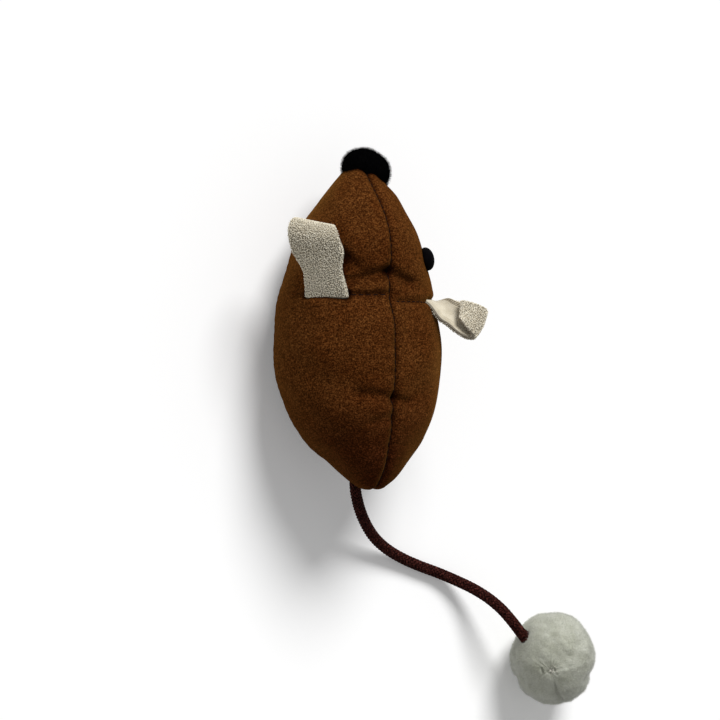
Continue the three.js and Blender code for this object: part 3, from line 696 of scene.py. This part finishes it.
# Stuffing. Loose white fibre, blown in through the rear seam until the cloth is tight.
FIBRE_DEPTH = 0.0014
FIBRE_ROWS = 120
FIBRE_COLUMNS = 120
FIBRE_ENDS = (0.03, 0.97)
white_fibre = Finish(
    "white_fibre", 1.0, (3, 3, (0.7, 0.69, 0.66), (0.86, 0.85, 0.82), (0.3, 0.7), (1.0, 0.3, 1.0)),
    [(1.2, 3, 0.6), (0.3, 3, 0.15, (0.3, 1.0, 1.0))],
)
fibre_t = np.linspace(*FIBRE_ENDS, FIBRE_ROWS)[:, None]
fibre_angle = np.linspace(-np.pi, np.pi, FIBRE_COLUMNS, endpoint=False)
fibre_points = cloth_point(fibre_t, fibre_angle, FIBRE_DEPTH)
index = np.arange(FIBRE_ROWS * FIBRE_COLUMNS).reshape(FIBRE_ROWS, FIBRE_COLUMNS)
fibre_faces = joined(index).tolist() + [index[0][::-1].tolist(), index[-1].tolist()]
fibre_mesh = fibre_points.reshape(-1, 3), fibre_faces
piece("body_fibre", fibre_mesh, "body", white_fibre, "body_stuffing")

# Seam threads. Dark brown sewing thread, in short even stitches that lie in the valleys of the back
# seam, the two darts and the two seams of the belly.
STITCH_LENGTH = 0.0021
STITCH_GAP = 0.0004
STITCH_STATIONS = 7
STITCH_SIDES = 8
STITCH_RISE, STITCH_SINK = 1.5, 0.9
STITCH_END_SHARE = 0.4
THREAD_RADIUS = 0.0002
SEAM_POINTS = 400
DART_POINTS = 40
BACK_SEAM_ENDS = (0.06, 0.985)
DART_THREAD_SHARES = (0.1, 0.92)
BELLY_SEAM_ENDS = (0.01, 0.99)


def seam_thread(name, node, t, angle):
    """Stitches along a seam: round thread that dips into the cloth at both its ends."""
    line = cloth_point(t, angle)
    run = run_of(line)
    count = max(1, round((run[-1] + STITCH_GAP) / (STITCH_LENGTH + STITCH_GAP)))
    pitch = (run[-1] + STITCH_GAP) / count
    share = np.linspace(0, 1, STITCH_STATIONS)
    at = pitch * np.arange(count)[:, None] + (pitch - STITCH_GAP) * share
    centres, out = (read_at(at, run, rows) for rows in (line, body_normal(t, angle)))
    arch = np.sqrt(np.sin(np.pi * share))[:, None]
    centres = centres + out * THREAD_RADIUS * (STITCH_RISE * arch - STITCH_SINK)
    thick = THREAD_RADIUS * (STITCH_END_SHARE + (1 - STITCH_END_SHARE) * arch)
    stitches = laid(centres, out, thick, thick, STITCH_SIDES)
    piece(name, stitches, "body", brown_thread, node)


brown_thread = Finish(
    "brown_thread", 0.8, (0.5, 2, (0.004, 0.001, 0.0007), (0.011, 0.003, 0.002)),
    [(0.08, 2, 0.03)], gloss=0.1,
)
back_seam = np.linspace(*BACK_SEAM_ENDS, SEAM_POINTS)
seam_thread("back_seam_stitches", "back_seam_thread", back_seam, 0.0)
belly_seam = belly_front + (belly_rear - belly_front) * np.linspace(*BELLY_SEAM_ENDS, SEAM_POINTS)
belly_angle = belly_seam_angle(belly_seam)
for word, side in SIDES:
    dart_angle = side * SLOT_INNER[side] * np.linspace(*DART_THREAD_SHARES, DART_POINTS)
    seam_thread(f"dart_stitches_{word}", f"dart_thread_{word}", dart_places[side], dart_angle)
    seam_thread(
        f"belly_seam_stitches_{word}", f"belly_seam_thread_{word}", belly_seam, side * belly_angle)

# Ears. Each is a flap of looped terry with a smooth cream lining, sewn round, turned out and
# caught by its root in the dart. The left one flops forward over its eye. The right one stands
# out, turned so that its lining faces up, and its tip folds back over the lining.
EAR_LENGTH = 0.03
EAR_ROOT_WIDTH = 0.015
EAR_WAIST_WIDTH = 0.0136
EAR_WIDTH = 0.018
EAR_WAIST_SHARE = 0.28
EAR_SPREAD_SHARE = 0.55
EAR_TWIST_SHARE = 0.3
EAR_CURL_SHARE = 0.4
EAR_TIP_START_SHARE = 0.55
EAR_TIP_SHARE = 0.5
EAR_ROOT_DEPTH = 0.0003
EAR_TUCK_SHARE = 0.03
EAR_GAP = 0.00015
EAR_HEM_REACH = 0.0015
TERRY = 0.0009
LINING = 0.0006
EARS = {
    "left": {"side": 1, "angle": 33, "cup": 0.0004, "fold_length": 0.0101, "fold_radius": 0.0037,
             "slant": -0.0016, "lean": -0.0049, "twist": 1, "pinch": 0.0, "gather": 0.0},
    "right": {"side": -1, "angle": 133, "cup": 0.002, "fold_length": 0.012, "fold_radius": 0.0018,
              "slant": -0.0008, "lean": 0.001, "twist": 57, "pinch": 0.004, "gather": 0.32},
}
EAR_ROWS = 120
EAR_COLUMNS = 80
EAR_ROW_CROWDING = 0.5
EAR_COLUMN_CROWDING = 0.7
HEM_LINES = (0.0009, 0.0018, 0.0026)
HEM_LINE_DEPTH = 0.0005
HEM_LINE_WIDTH = 0.0002
# The terry's loops: how far apart they are sewn, how far each may stray, in shares of that, and
# where on the ear they end.
LOOP_SPACING = 0.0005
LOOP_STRAY_ALONG, LOOP_STRAY_ACROSS = 0.45, 0.9
LOOP_FIRST_ROW = -0.2
LOOP_ENDS = (-0.02, 0.995)
LOOP_SIDE_END = 0.985
LOOP_THREAD = 0.00012
LOOP_FOOT = 0.00022
LOOP_HEIGHT = 0.00042
LOOP_SINK = 0.2
LOOP_SIZES = (0.75, 1.25)
LOOP_TURN = 0.9
LOOP_LEAN = 0.6
LOOP_STATIONS = 6
LOOP_SIDES = 5


def ear_point(ear, along, across):
    """The middle of an ear's two layers: x runs out along it, y through it, z across it."""
    along, across = np.broadcast_arrays(np.asarray(along, float), np.asarray(across, float))
    rounding = np.maximum(along - EAR_TIP_START_SHARE, 0) / (1 - EAR_TIP_START_SHARE)
    narrowing = eased(along, 0, EAR_WAIST_SHARE)
    root_width = EAR_ROOT_WIDTH - ear["pinch"]
    waist = root_width + (EAR_WAIST_WIDTH - root_width) * narrowing
    width = waist + (EAR_WIDTH - waist) * eased(along, EAR_WAIST_SHARE, EAR_SPREAD_SHARE)
    rounded = np.sqrt(1 - (1 - EAR_TIP_SHARE**2) * rounding**2)
    width = width * (1 - ear["gather"] * narrowing) * rounded
    straight = EAR_LENGTH - ear["fold_length"] + ear["slant"] * across
    turn = np.maximum(EAR_LENGTH * along - straight, 0) / ear["fold_radius"]
    bend = np.minimum(turn, np.pi)
    sink = ear["cup"] * eased(along, 0, EAR_CURL_SHARE) * (1 + np.cos(bend)) / 2 * across**2
    x = np.minimum(EAR_LENGTH * along, straight) + (ear["fold_radius"] - sink) * np.sin(bend)
    x = x - ear["fold_radius"] * (turn - bend)
    y = -ear["fold_radius"] * (1 - np.cos(bend)) - sink * np.cos(bend)
    aside = -ear["side"] * ear["pinch"] / 2 * (1 - narrowing) + ear["lean"] * along**2
    z = width / 2 * across + aside
    twist = math.radians(ear["twist"]) * eased(along, 0, EAR_TWIST_SHARE)
    cosine, sine = np.cos(twist), np.sin(twist)
    return np.stack([x, y * cosine - z * sine, y * sine + z * cosine], axis=-1)


def ear_ways(ear, along, across):
    """The ways out along an ear, and square to its cloth, at a place."""
    low, high = (np.clip(along + step, -1, 1) for step in (-SLOPE_STEP, SLOPE_STEP))
    out = unit(ear_point(ear, high, across) - ear_point(ear, low, across))
    inner, outer = (ear_point(ear, along, across + step) for step in (-SLOPE_STEP, SLOPE_STEP))
    return out, unit(np.cross(outer - inner, out))


def ear_stand(ear):
    """Where an ear stands, on the stretch of the dart that holds it, and its own three axes."""
    place = dart_places[ear["side"]]
    inner, outer = (body_point(place, ear["side"] * angle) for angle in (EAR_INNER, EAR_OUTER))
    across = unit((inner - outer) * ear["side"])
    up = body_normal(place, ear["side"] * (EAR_INNER + EAR_OUTER) / 2)
    up = unit(up - across * up.dot(across))
    forward = np.cross(up, across)
    angle = math.radians(ear["angle"])
    out = math.cos(angle) * forward + math.sin(angle) * up
    through_way = math.cos(angle) * up - math.sin(angle) * forward
    return (inner + outer) / 2 - EAR_ROOT_DEPTH * up, np.array([out, through_way, across])


def ear_edges(along, across):
    """How far a place on an ear lies from the nearer side edge, and from the tip."""
    return (1 - np.abs(across)) * EAR_WIDTH / 2, (1 - along) * EAR_LENGTH


def rolled(away, depth):
    """Share of a layer's depth that its rounded edge keeps at a distance from the edge."""
    return np.sqrt(1 - (1 - np.clip(away / depth, 0, 1)) ** 2)


def ear_face(away):
    """How far the face of a layer lies from the other's: they meet at the sewn edge."""
    return EAR_GAP * (1 - bell(away, EAR_HEM_REACH))


def hem_relief(away):
    """Fine lines pressed in the lining along its sewn edge."""
    return sum(HEM_LINE_DEPTH * bell(away - line, HEM_LINE_WIDTH) for line in HEM_LINES)


def ear_layer(ear, way, depth, relief):
    """A closed layer of ear cloth on one side of the ear's middle, with round edges."""
    rows = (1 + EAR_TUCK_SHARE) * crowded(EAR_ROWS, EAR_ROW_CROWDING) - EAR_TUCK_SHARE
    columns = 2 * crowded(EAR_COLUMNS, EAR_COLUMN_CROWDING) - 1
    along, across = np.broadcast_arrays(rows[:, None], columns)
    to_side, to_tip = ear_edges(along, across)
    away = np.minimum(to_side, to_tip)
    swell = rolled(to_side, depth) * rolled(to_tip, depth) * (depth - relief(away))
    through_way = way * ear_ways(ear, along, across)[1]
    near = ear_point(ear, along, across) + through_way * ear_face(away)[..., None]
    far = near + through_way * swell[..., None]
    rows, columns = along.shape
    top = np.arange(rows * columns).reshape(rows, columns)
    under = top + rows * columns
    for rim in ((slice(None), 0), (slice(None), -1), (-1, slice(None))):
        under[rim] = top[rim]
    stand, axes = ear_stand(ear)
    points = stand + np.concatenate([far.reshape(-1, 3), near.reshape(-1, 3)]) @ axes
    faces = []
    for grid, turned in ((top, way < 0), (under, way > 0)):
        corners = [grid[:-1, :-1], grid[1:, :-1], grid[1:, 1:], grid[:-1, 1:]]
        quads = np.stack(corners, axis=-1).reshape(-1, 4)
        faces += (quads[:, ::-1] if turned else quads).tolist()
    root = [*top[0].tolist(), *under[0, 1:-1][::-1].tolist()]
    faces.append(root if way > 0 else root[::-1])
    return points, faces


def loops_of(ear, chance):
    """Loops of the terry's thread, a little arch each, over the whole outer face and its edges."""
    rows, columns = round(EAR_LENGTH / LOOP_SPACING), round(EAR_WIDTH / LOOP_SPACING)
    along, across = np.meshgrid(
        (np.arange(rows + 1) + LOOP_FIRST_ROW) / rows, (np.arange(columns) + 0.5) / columns * 2 - 1,
        indexing="ij")
    along_stray = chance.uniform(-LOOP_STRAY_ALONG, LOOP_STRAY_ALONG, along.shape)
    across_stray = chance.uniform(-LOOP_STRAY_ACROSS, LOOP_STRAY_ACROSS, across.shape)
    along = np.clip(along + along_stray / rows, *LOOP_ENDS).ravel()
    across = np.clip(across + across_stray / columns, -LOOP_SIDE_END, LOOP_SIDE_END).ravel()
    out, up = ear_ways(ear, along, across)
    over = np.cross(out, up)
    side_lift, tip_lift = (rolled(away, TERRY)[:, None] for away in ear_edges(along, across))
    lift = side_lift * tip_lift
    base = ear_point(ear, along, across) + up * (EAR_GAP + TERRY * lift)
    aside = (1 - side_lift) * np.sign(across)[:, None]
    up = unit(up * lift - over * aside + out * (1 - tip_lift))
    turn = chance.normal(0, LOOP_TURN, along.shape)[:, None]
    foot = unit(np.cos(turn) * out + np.sin(turn) * over)
    lean = chance.uniform(-LOOP_LEAN, LOOP_LEAN, (len(along), 1))
    rise = unit(up + lean * np.cross(foot, up))
    size = chance.uniform(*LOOP_SIZES, (len(along), 1, 1))
    arch = np.linspace(0, np.pi, LOOP_STATIONS)[None, :, None]
    centres = base[:, None] - LOOP_FOOT * size * np.cos(arch) * foot[:, None]
    centres += LOOP_HEIGHT * size * (np.sin(arch) - LOOP_SINK) * rise[:, None]
    heading = unit(np.gradient(centres, axis=1))
    beside = unit(np.cross(foot, rise))[:, None] * np.ones_like(centres)
    thick = LOOP_THREAD * beside, LOOP_THREAD * unit(np.cross(heading, beside))
    stand, axes = ear_stand(ear)
    return swept(stand + centres @ axes, *(ways @ axes for ways in thick), LOOP_SIDES)


# The ground's cream is darkened as painted shade, so that the gaps between the loops read dark.
terry_ground_painted_shade = Finish(
    "terry_ground_painted_shade", 1.0, (1.1, 3, (0.27, 0.235, 0.175), (0.42, 0.375, 0.29)), [(0.3, 2, 0.1)])
terry_thread = Finish(
    "terry_thread", 0.95, bumps=[(0.09, 2, 0.03)], sheen=(0.15, 0.5, (0.9, 0.85, 0.74)))
terry_thread.colour(terry_thread.mix(
    terry_thread.noise(0.5, 2),
    terry_thread.mottled(4, 2, (0.58, 0.52, 0.4), (0.82, 0.75, 0.61)),
    terry_thread.mottled(1.3, 2, (0.84, 0.77, 0.62), (1.0, 0.96, 0.82)),
))
ear_lining = Finish(
    "ear_lining", 0.95, (2.4, 3, (0.56, 0.5, 0.38), (0.7, 0.64, 0.51)),
    [(0.28, 3, 0.06, (1.0, 0.5, 1.0))], sheen=(0.15, 0.5, (1.0, 0.95, 0.85)),
)

loop_chance = np.random.default_rng(11)
for word, ear in EARS.items():
    ground = ear_layer(ear, 1, TERRY, np.zeros_like)
    terry = piece(
        f"ear_{word}_terry_cloth", together(ground, loops_of(ear, loop_chance)),
        f"ear_{word}", terry_ground_painted_shade, f"ear_{word}_terry",
    )
    refinished(terry, len(ground[1]), terry_thread)
    piece(
        f"ear_{word}_lining_cloth", ear_layer(ear, -1, LINING, hem_relief),
        f"ear_{word}", ear_lining, f"ear_{word}_lining",
    )

# Eyes. Matt black plastic domes with a thin rim, low on the sides of the head and just ahead of the
# ears. Each has a shank that a washer holds inside.
EAR_PLACE_SHARE = 0.411
EYE_AHEAD = 0.0132
EYE_ANGLE = math.radians(54)
EYE_RADIUS = 0.004
EYE_DOME = 0.0026
EYE_RIM = 0.0007
EYE_BEVEL = 0.0002
EYE_SHANK_RADIUS = 0.0011
EYE_SHANK_DEPTH = 0.002
EYE_SEAT_DEPTH = 0.0005
EYE_CLEARANCE = 0.0003
EYE_SIDES = 64
EYE_STEPS = 24


def turned(profile, centre, way, sides):
    """A piece turned on a lathe: a profile of radius and height, stood on a place along a way."""
    side = unit(np.cross(way, (0, 1, 0)))
    radius, height = np.array(profile).T[:, None, :, None]
    return swept(centre + height * way, radius * side, radius * np.cross(way, side), sides)


eye_black = Finish(
    "eye_black", 0.9, (1.5, 2, (0.0008, 0.0006, 0.0008), (0.002, 0.0015, 0.002)),
    [(0.25, 2, 0.01)], gloss=0.04,
)
eye_place = place_at(EAR_PLACE_SHARE - EYE_AHEAD / BODY_LENGTH)
eye_low = EYE_CLEARANCE - EYE_SEAT_DEPTH
eye_arc = np.linspace(0, np.pi / 2, EYE_STEPS)[:-1]
eye_dome = eye_low + EYE_RIM + EYE_DOME * np.sin(eye_arc)
eye_profile = [
    (EYE_SHANK_RADIUS, -EYE_SHANK_DEPTH), (EYE_SHANK_RADIUS, eye_low),
    (EYE_RADIUS - EYE_BEVEL, eye_low), (EYE_RADIUS, eye_low + EYE_BEVEL),
    *zip(EYE_RADIUS * np.cos(eye_arc), eye_dome),
]
for word, side in SIDES:
    spot = body_point(eye_place, side * EYE_ANGLE)
    way = body_normal(eye_place, side * EYE_ANGLE)
    button = turned(eye_profile, spot, way, EYE_SIDES)
    piece(f"eye_{word}_button", button, "body", eye_black, f"eye_{word}")

# Nose. A little pompom of short black pile on the tip of the snout, pressed a little flat against
# it, so that it is broader along one way.
NOSE_CENTRE = np.array((-0.0032, -0.0533, 0.024))
NOSE_RADIUS = 0.0073
NOSE_LONG_WAY = unit(np.array((-0.785, 0.423, 0.453)))
NOSE_BROADER = 0.2
NOSE_FLATTER = 0.06
NOSE_LUMP = 0.03
NOSE_LUMPS_ROUND, NOSE_LUMPS_UP = 3, 7
NOSE_MESH = (24, 36)
NOSE_PILE = 0.0011
NOSE_HAIRS = 4200
# The pile, on the nose and on the tail's pompom: hairs of three sides that stand in the surface.
HAIR_RADIUS = 0.00007
HAIR_ROOT = 0.0001
HAIR_LOWEST = 0.0008
HAIR_SIDES = 3
HAIR_STATIONS = 2
HAIR_LEAN = 0.35
HAIR_LENGTHS = (0.6, 1.1)
HAIR_TAPER = 0.7


def ball_of(radius_at, centre, rows, columns, axes):
    """A ball whose radius is a function of the way from its centre. The third axis is its pole."""
    polar = np.linspace(0, np.pi, rows + 1)[1:-1, None]
    turn = 2 * np.pi * np.arange(columns) / columns
    ways = np.stack([np.sin(polar) * np.cos(turn), np.sin(polar) * np.sin(turn),
                     np.cos(polar) * np.ones_like(turn)], axis=-1)
    ways = np.concatenate([ways.reshape(-1, 3), [(0, 0, 1), (0, 0, -1)]]) @ axes
    points = centre + ways * radius_at(ways)[:, None]
    index = np.arange((rows - 1) * columns).reshape(rows - 1, columns)
    beside = np.roll(index, -1, axis=1)
    quads = np.stack([index[:-1], index[1:], beside[1:], beside[:-1]], axis=-1)
    quads = quads.reshape(-1, 4).tolist()
    top, bottom = len(points) - 2, len(points) - 1
    quads += [(top, int(a), int(b)) for a, b in zip(index[0], beside[0])]
    quads += [(bottom, int(b), int(a)) for a, b in zip(index[-1], beside[-1])]
    return points, quads


def spread_ways(count):
    """Ways spread evenly over a ball."""
    k = np.arange(count) + 0.5
    height = 1 - 2 * k / count
    turn = math.pi * (1 + math.sqrt(5)) * k
    flat = np.sqrt(1 - height**2)
    return np.stack([flat * np.cos(turn), flat * np.sin(turn), height], axis=-1)


def furry(radius_at, centre, mesh, count, length, chance, axes=np.eye(3)):
    """A ball with a pile of short tapered hairs, each leaning its own way, none on the floor."""
    ways = spread_ways(count)
    roots = centre + ways * (radius_at(ways) - HAIR_ROOT)[:, None]
    free = roots[:, 2] > HAIR_LOWEST
    ways, roots = ways[free], roots[free]
    tips = unit(ways + chance.normal(0, HAIR_LEAN, roots.shape))
    share = np.linspace(0, 1, HAIR_STATIONS)[None, :, None]
    long = (length * chance.uniform(*HAIR_LENGTHS, len(roots)))[:, None, None]
    centres = roots[:, None] + long * share * ((1 - share) * ways[:, None] + share * tips[:, None])
    beside = unit(np.cross(ways, tips + 1e-6))[:, None] * np.ones_like(centres)
    over = unit(np.cross(ways[:, None], beside))
    thick = HAIR_RADIUS * (1 - HAIR_TAPER * share)
    hairs = swept(centres, thick * beside, thick * over, HAIR_SIDES)
    return together(ball_of(radius_at, centre, *mesh, axes), hairs)


def nose_radius(ways):
    lumps = NOSE_LUMP * np.sin(NOSE_LUMPS_ROUND * np.arctan2(ways[:, 1], ways[:, 0]))
    lumps = lumps * np.sin(NOSE_LUMPS_UP * ways[:, 2])
    broad = NOSE_BROADER * (ways @ NOSE_LONG_WAY) ** 2 - NOSE_FLATTER
    return NOSE_RADIUS * (1 + lumps + broad)


nose_black = Finish(
    "nose_black", 1.0, (0.6, 2, (0.0008, 0.0008, 0.0009), (0.0026, 0.0026, 0.0028)),
    [(0.25, 2, 0.1)], gloss=0.0,
)
nose_chance = np.random.default_rng(23)
nose_mesh = furry(nose_radius, NOSE_CENTRE, NOSE_MESH, NOSE_HAIRS, NOSE_PILE, nose_chance)
nose = piece("nose_plush", nose_mesh, "body", nose_black, "nose_pompom")

# Tail pompom. A disc of short-pile plush, stuffed and drawn into a ball round the end of the cord.
# Its gathers run to the mouth, which faces up and is closed with a few pale stitches.
POMPOM_RADIUS = 0.0151
POMPOM_REACH = 0.0166
POMPOM_ANGLE = math.radians(146.5)
POMPOM_REST_DEPTH = 0.0005
POMPOM_FLOOR_GAP = 0.0001
POMPOM_TALL = 0.05
POMPOM_MESH = (150, 220)
CLOSING_WAY = unit(np.array((0.55, 0.24, 0.8)))
MOUTH_DEPTH = 0.0007
MOUTH_SHARE = 0.15
# Gathers round the mouth, as wide as an angle from it, and uneven as they go round.
GATHERS = 19
GATHER_DEPTH = 0.00011
GATHER_FROM, GATHER_WIDTH = 0.22, 0.24
GATHER_DRIFT, GATHER_DRIFT_TURNS = 2.2, 3
GATHER_LEAST, GATHER_SWELL_TURNS = 0.6, 5
# Soft lumps and small clumps of pile: how many, how far in or out, and how wide.
LUMPS = [(70, (-0.0005, 0.0005), 0.02), (520, (-0.00034, 0.00036), 0.004)]
PIT_DEPTH = 0.0007
PIT_WIDTH = 0.00036
PLUSH_PILE = 0.0009
PLUSH_HAIRS = 16000
# Valleys that run out from the mouth: the turn about it, depth in metres, width in radians, and the
# angles from the mouth at which each starts and starts to fade.
VALLEY_SHARPNESS = 1.5
VALLEY_EASE, VALLEY_FADE = 0.4, 0.7
VALLEYS = [
    (0.8, 0.0005, 0.18, 0.7, 1.9), (-0.2, 0.0004, 0.14, 0.7, 1.9), (-1.26, 0.0005, 0.16, 0.7, 1.9),
    (-2.31, 0.0012, 0.15, 1.0, 1.9), (3.07, 0.001, 0.08, 0.15, 0.95),
    (2.29, 0.0005, 0.15, 0.7, 1.9), (1.7, 0.0012, 0.17, 0.9, 1.9),
]
# Places beside the mouth, in millimetres from its middle: a slit and the small pits that the
# closing stitches draw in, then the stitches themselves.
PITS = [
    ((1.9, 2.9), (0.1, 2.6)), ((0.5, 0.1), (0.2, -0.1)), ((-0.8, 0.3), (-1.0, 0.1)),
    ((-0.4, -1.5), (-0.5, -1.4)), ((-1.8, -1.8), (-1.9, -1.7)), ((0.1, 1.1), (-0.2, 1.2)),
]
CLOSING_STITCHES = [
    ((-1.3, -0.5), (0.9, 0.6)), ((-0.8, 1.0), (1.0, -0.8)), ((0.1, -1.4), (-0.3, 1.2)),
    ((-1.5, 0.2), (-0.2, -1.0)), ((1.2, -1.6), (0.3, -2.3)), ((-0.9, -1.6), (-1.3, -2.3)),
]
CLOSING_THREAD_RADIUS = 0.00013
CLOSING_RISE, CLOSING_SINK, CLOSING_HIGHEST = 3.5, 1.5, 3
CLOSING_STATIONS = 9
pompom_stand = POMPOM_RADIUS - POMPOM_REST_DEPTH
pompom_low = -(pompom_stand - POMPOM_FLOOR_GAP)
cord_end = np.array(CORD_ROUTE[-1])
cord_heading = np.array((math.cos(POMPOM_ANGLE), math.sin(POMPOM_ANGLE), 0))
pompom_away = math.sqrt(POMPOM_REACH**2 - (pompom_stand - cord_end[2]) ** 2)
pompom_centre = cord_end * (1, 1, 0) + cord_heading * pompom_away + (0, 0, pompom_stand)
mouth_side = unit(np.cross(CLOSING_WAY, (0, 0, 1)))
mouth_over = np.cross(CLOSING_WAY, mouth_side)
mouth_axes = np.array([mouth_side, mouth_over, CLOSING_WAY])
pompom_chance = np.random.default_rng(5)
_, swell_start, drift_start = pompom_chance.uniform(0, 2 * np.pi, 3)
lumps = [
    (unit(pompom_chance.normal(size=(count, 3))), pompom_chance.uniform(*depths, count), size)
    for count, depths, size in LUMPS
]


def pompom_radius(ways):
    """The pompom's radius on a way from its centre: valleys, mouth, gathers and soft lumps."""
    polar = np.arccos(np.clip(ways @ CLOSING_WAY, -1, 1))
    turn = np.arctan2(ways @ mouth_over, ways @ mouth_side)
    tall = ways[:, 1] ** 2 - (ways @ np.array(view_right)) ** 2
    radius = POMPOM_RADIUS * (1 + POMPOM_TALL * tall)
    for valley, depth, width, start, fade in VALLEYS:
        off = np.sin(polar) * np.abs(np.angle(np.exp(1j * (turn - valley))))
        ends = eased(polar, start, start + VALLEY_EASE)
        ends = ends * (1 - eased(polar, fade, fade + VALLEY_FADE))
        radius -= depth * bell(off, width, VALLEY_SHARPNESS) * ends
    radius -= MOUTH_DEPTH * bell(polar, MOUTH_SHARE)
    drift = GATHER_DRIFT * np.sin(GATHER_DRIFT_TURNS * turn + drift_start)
    swell = (1 - GATHER_LEAST) * np.sin(GATHER_SWELL_TURNS * turn + swell_start)
    gathers = np.cos(GATHERS * turn + drift) * (GATHER_LEAST + swell)
    beside = np.stack([ways @ mouth_side, ways @ mouth_over], axis=-1) * POMPOM_RADIUS * 1000
    for start, stop in PITS:
        off = off_line(beside, start, stop) / 1000
        radius -= PIT_DEPTH * bell(off, PIT_WIDTH) * (ways @ CLOSING_WAY > 0)
    radius += GATHER_DEPTH * gathers * bell(polar - GATHER_FROM, GATHER_WIDTH)
    for places, depths, size in lumps:
        for place, depth in zip(places, depths):
            radius += depth * np.exp(-((1 - ways @ place) / size))
    on_floor = pompom_low / np.minimum(ways[:, 2], -1e-6)
    return np.where(radius * ways[:, 2] < pompom_low, on_floor, radius)


pale_plush = Finish(
    "pale_plush", 1.0, bumps=[(2.2, 3, 0.5), (0.45, 3, 0.25)], sheen=(0.25, 0.5, (0.85, 0.87, 0.8)))
pale_plush.colour(pale_plush.mix(
    0.5,
    pale_plush.mottled(5, 4, (0.4, 0.41, 0.31), (0.63, 0.64, 0.55), (0.35, 0.65)),
    pale_plush.mottled(0.5, 3, (0.42, 0.43, 0.36), (0.66, 0.67, 0.58)),
))
pale_plush.soaked(0.5, 0.003)
pompom_mesh = furry(
    pompom_radius, pompom_centre, POMPOM_MESH, PLUSH_HAIRS, PLUSH_PILE, pompom_chance, mouth_axes)
pompom = piece(
    "tail_pompom_plush", pompom_mesh, "tail_pompom", pale_plush, "tail_pompom_cover")

stitch_ends = np.array(CLOSING_STITCHES) / 1000 / POMPOM_RADIUS
stitch_share = np.linspace(0, 1, CLOSING_STATIONS)[None, :, None]
stitch_flat = stitch_ends[:, :1] + stitch_share * (stitch_ends[:, 1:] - stitch_ends[:, :1])
stitch_ways = unit(CLOSING_WAY + stitch_flat @ mouth_axes[:2])
stitch_arch = np.sqrt(np.sin(np.pi * stitch_share[..., 0]))
stitch_lift = CLOSING_THREAD_RADIUS * (CLOSING_RISE * stitch_arch - CLOSING_SINK)
stitch_out = np.stack([pompom_radius(ways) for ways in stitch_ways]) + stitch_lift
stitch_mean = stitch_out.mean(axis=1, keepdims=True)
stitch_out = np.minimum(stitch_out, stitch_mean + CLOSING_HIGHEST * CLOSING_THREAD_RADIUS)
stitch_centres = pompom_centre + stitch_ways * stitch_out[..., None]
closing_cream = Finish(
    "closing_cream", 0.8, (0.4, 2, (0.55, 0.53, 0.46), (0.82, 0.8, 0.72)), [(0.1, 2, 0.03)])
closing_sizes = (CLOSING_THREAD_RADIUS, CLOSING_THREAD_RADIUS, STITCH_SIDES)
closing = piece(
    "pompom_closing_stitches", laid(stitch_centres, stitch_ways, *closing_sizes),
    "tail_pompom", closing_cream, "pompom_closing_thread",
)

# Hidden pieces. A plain white plastic washer locks the shank of each eye behind the cloth. The
# pompom is filled with the body's fibre, and the tail's braid is knotted at both its ends.
washer_white = Finish(
    "washer_white", 0.45, (2, 2, (0.76, 0.75, 0.72), (0.82, 0.81, 0.78)), [(0.2, 2, 0.01)])
knot_yarn = Finish(
    "knot_yarn", 0.7,
    (0.7, 3, (0.006, 0.0015, 0.0012), (0.07, 0.018, 0.014), (0.35, 0.65), (1.0, 0.4, 1.0)),
    [(0.8, 2, 0.3, (1.0, 0.4, 1.0))],
)
hidden_finishes = {
    "tail_pompom_stuffing": white_fibre, "tail_anchor_knot": knot_yarn, "tail_end_knot": knot_yarn,
    "eye_washer_left": washer_white, "eye_washer_right": washer_white,
}
for node, finish in hidden_finishes.items():
    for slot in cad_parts[node].material_slots:
        slot.material = finish.material

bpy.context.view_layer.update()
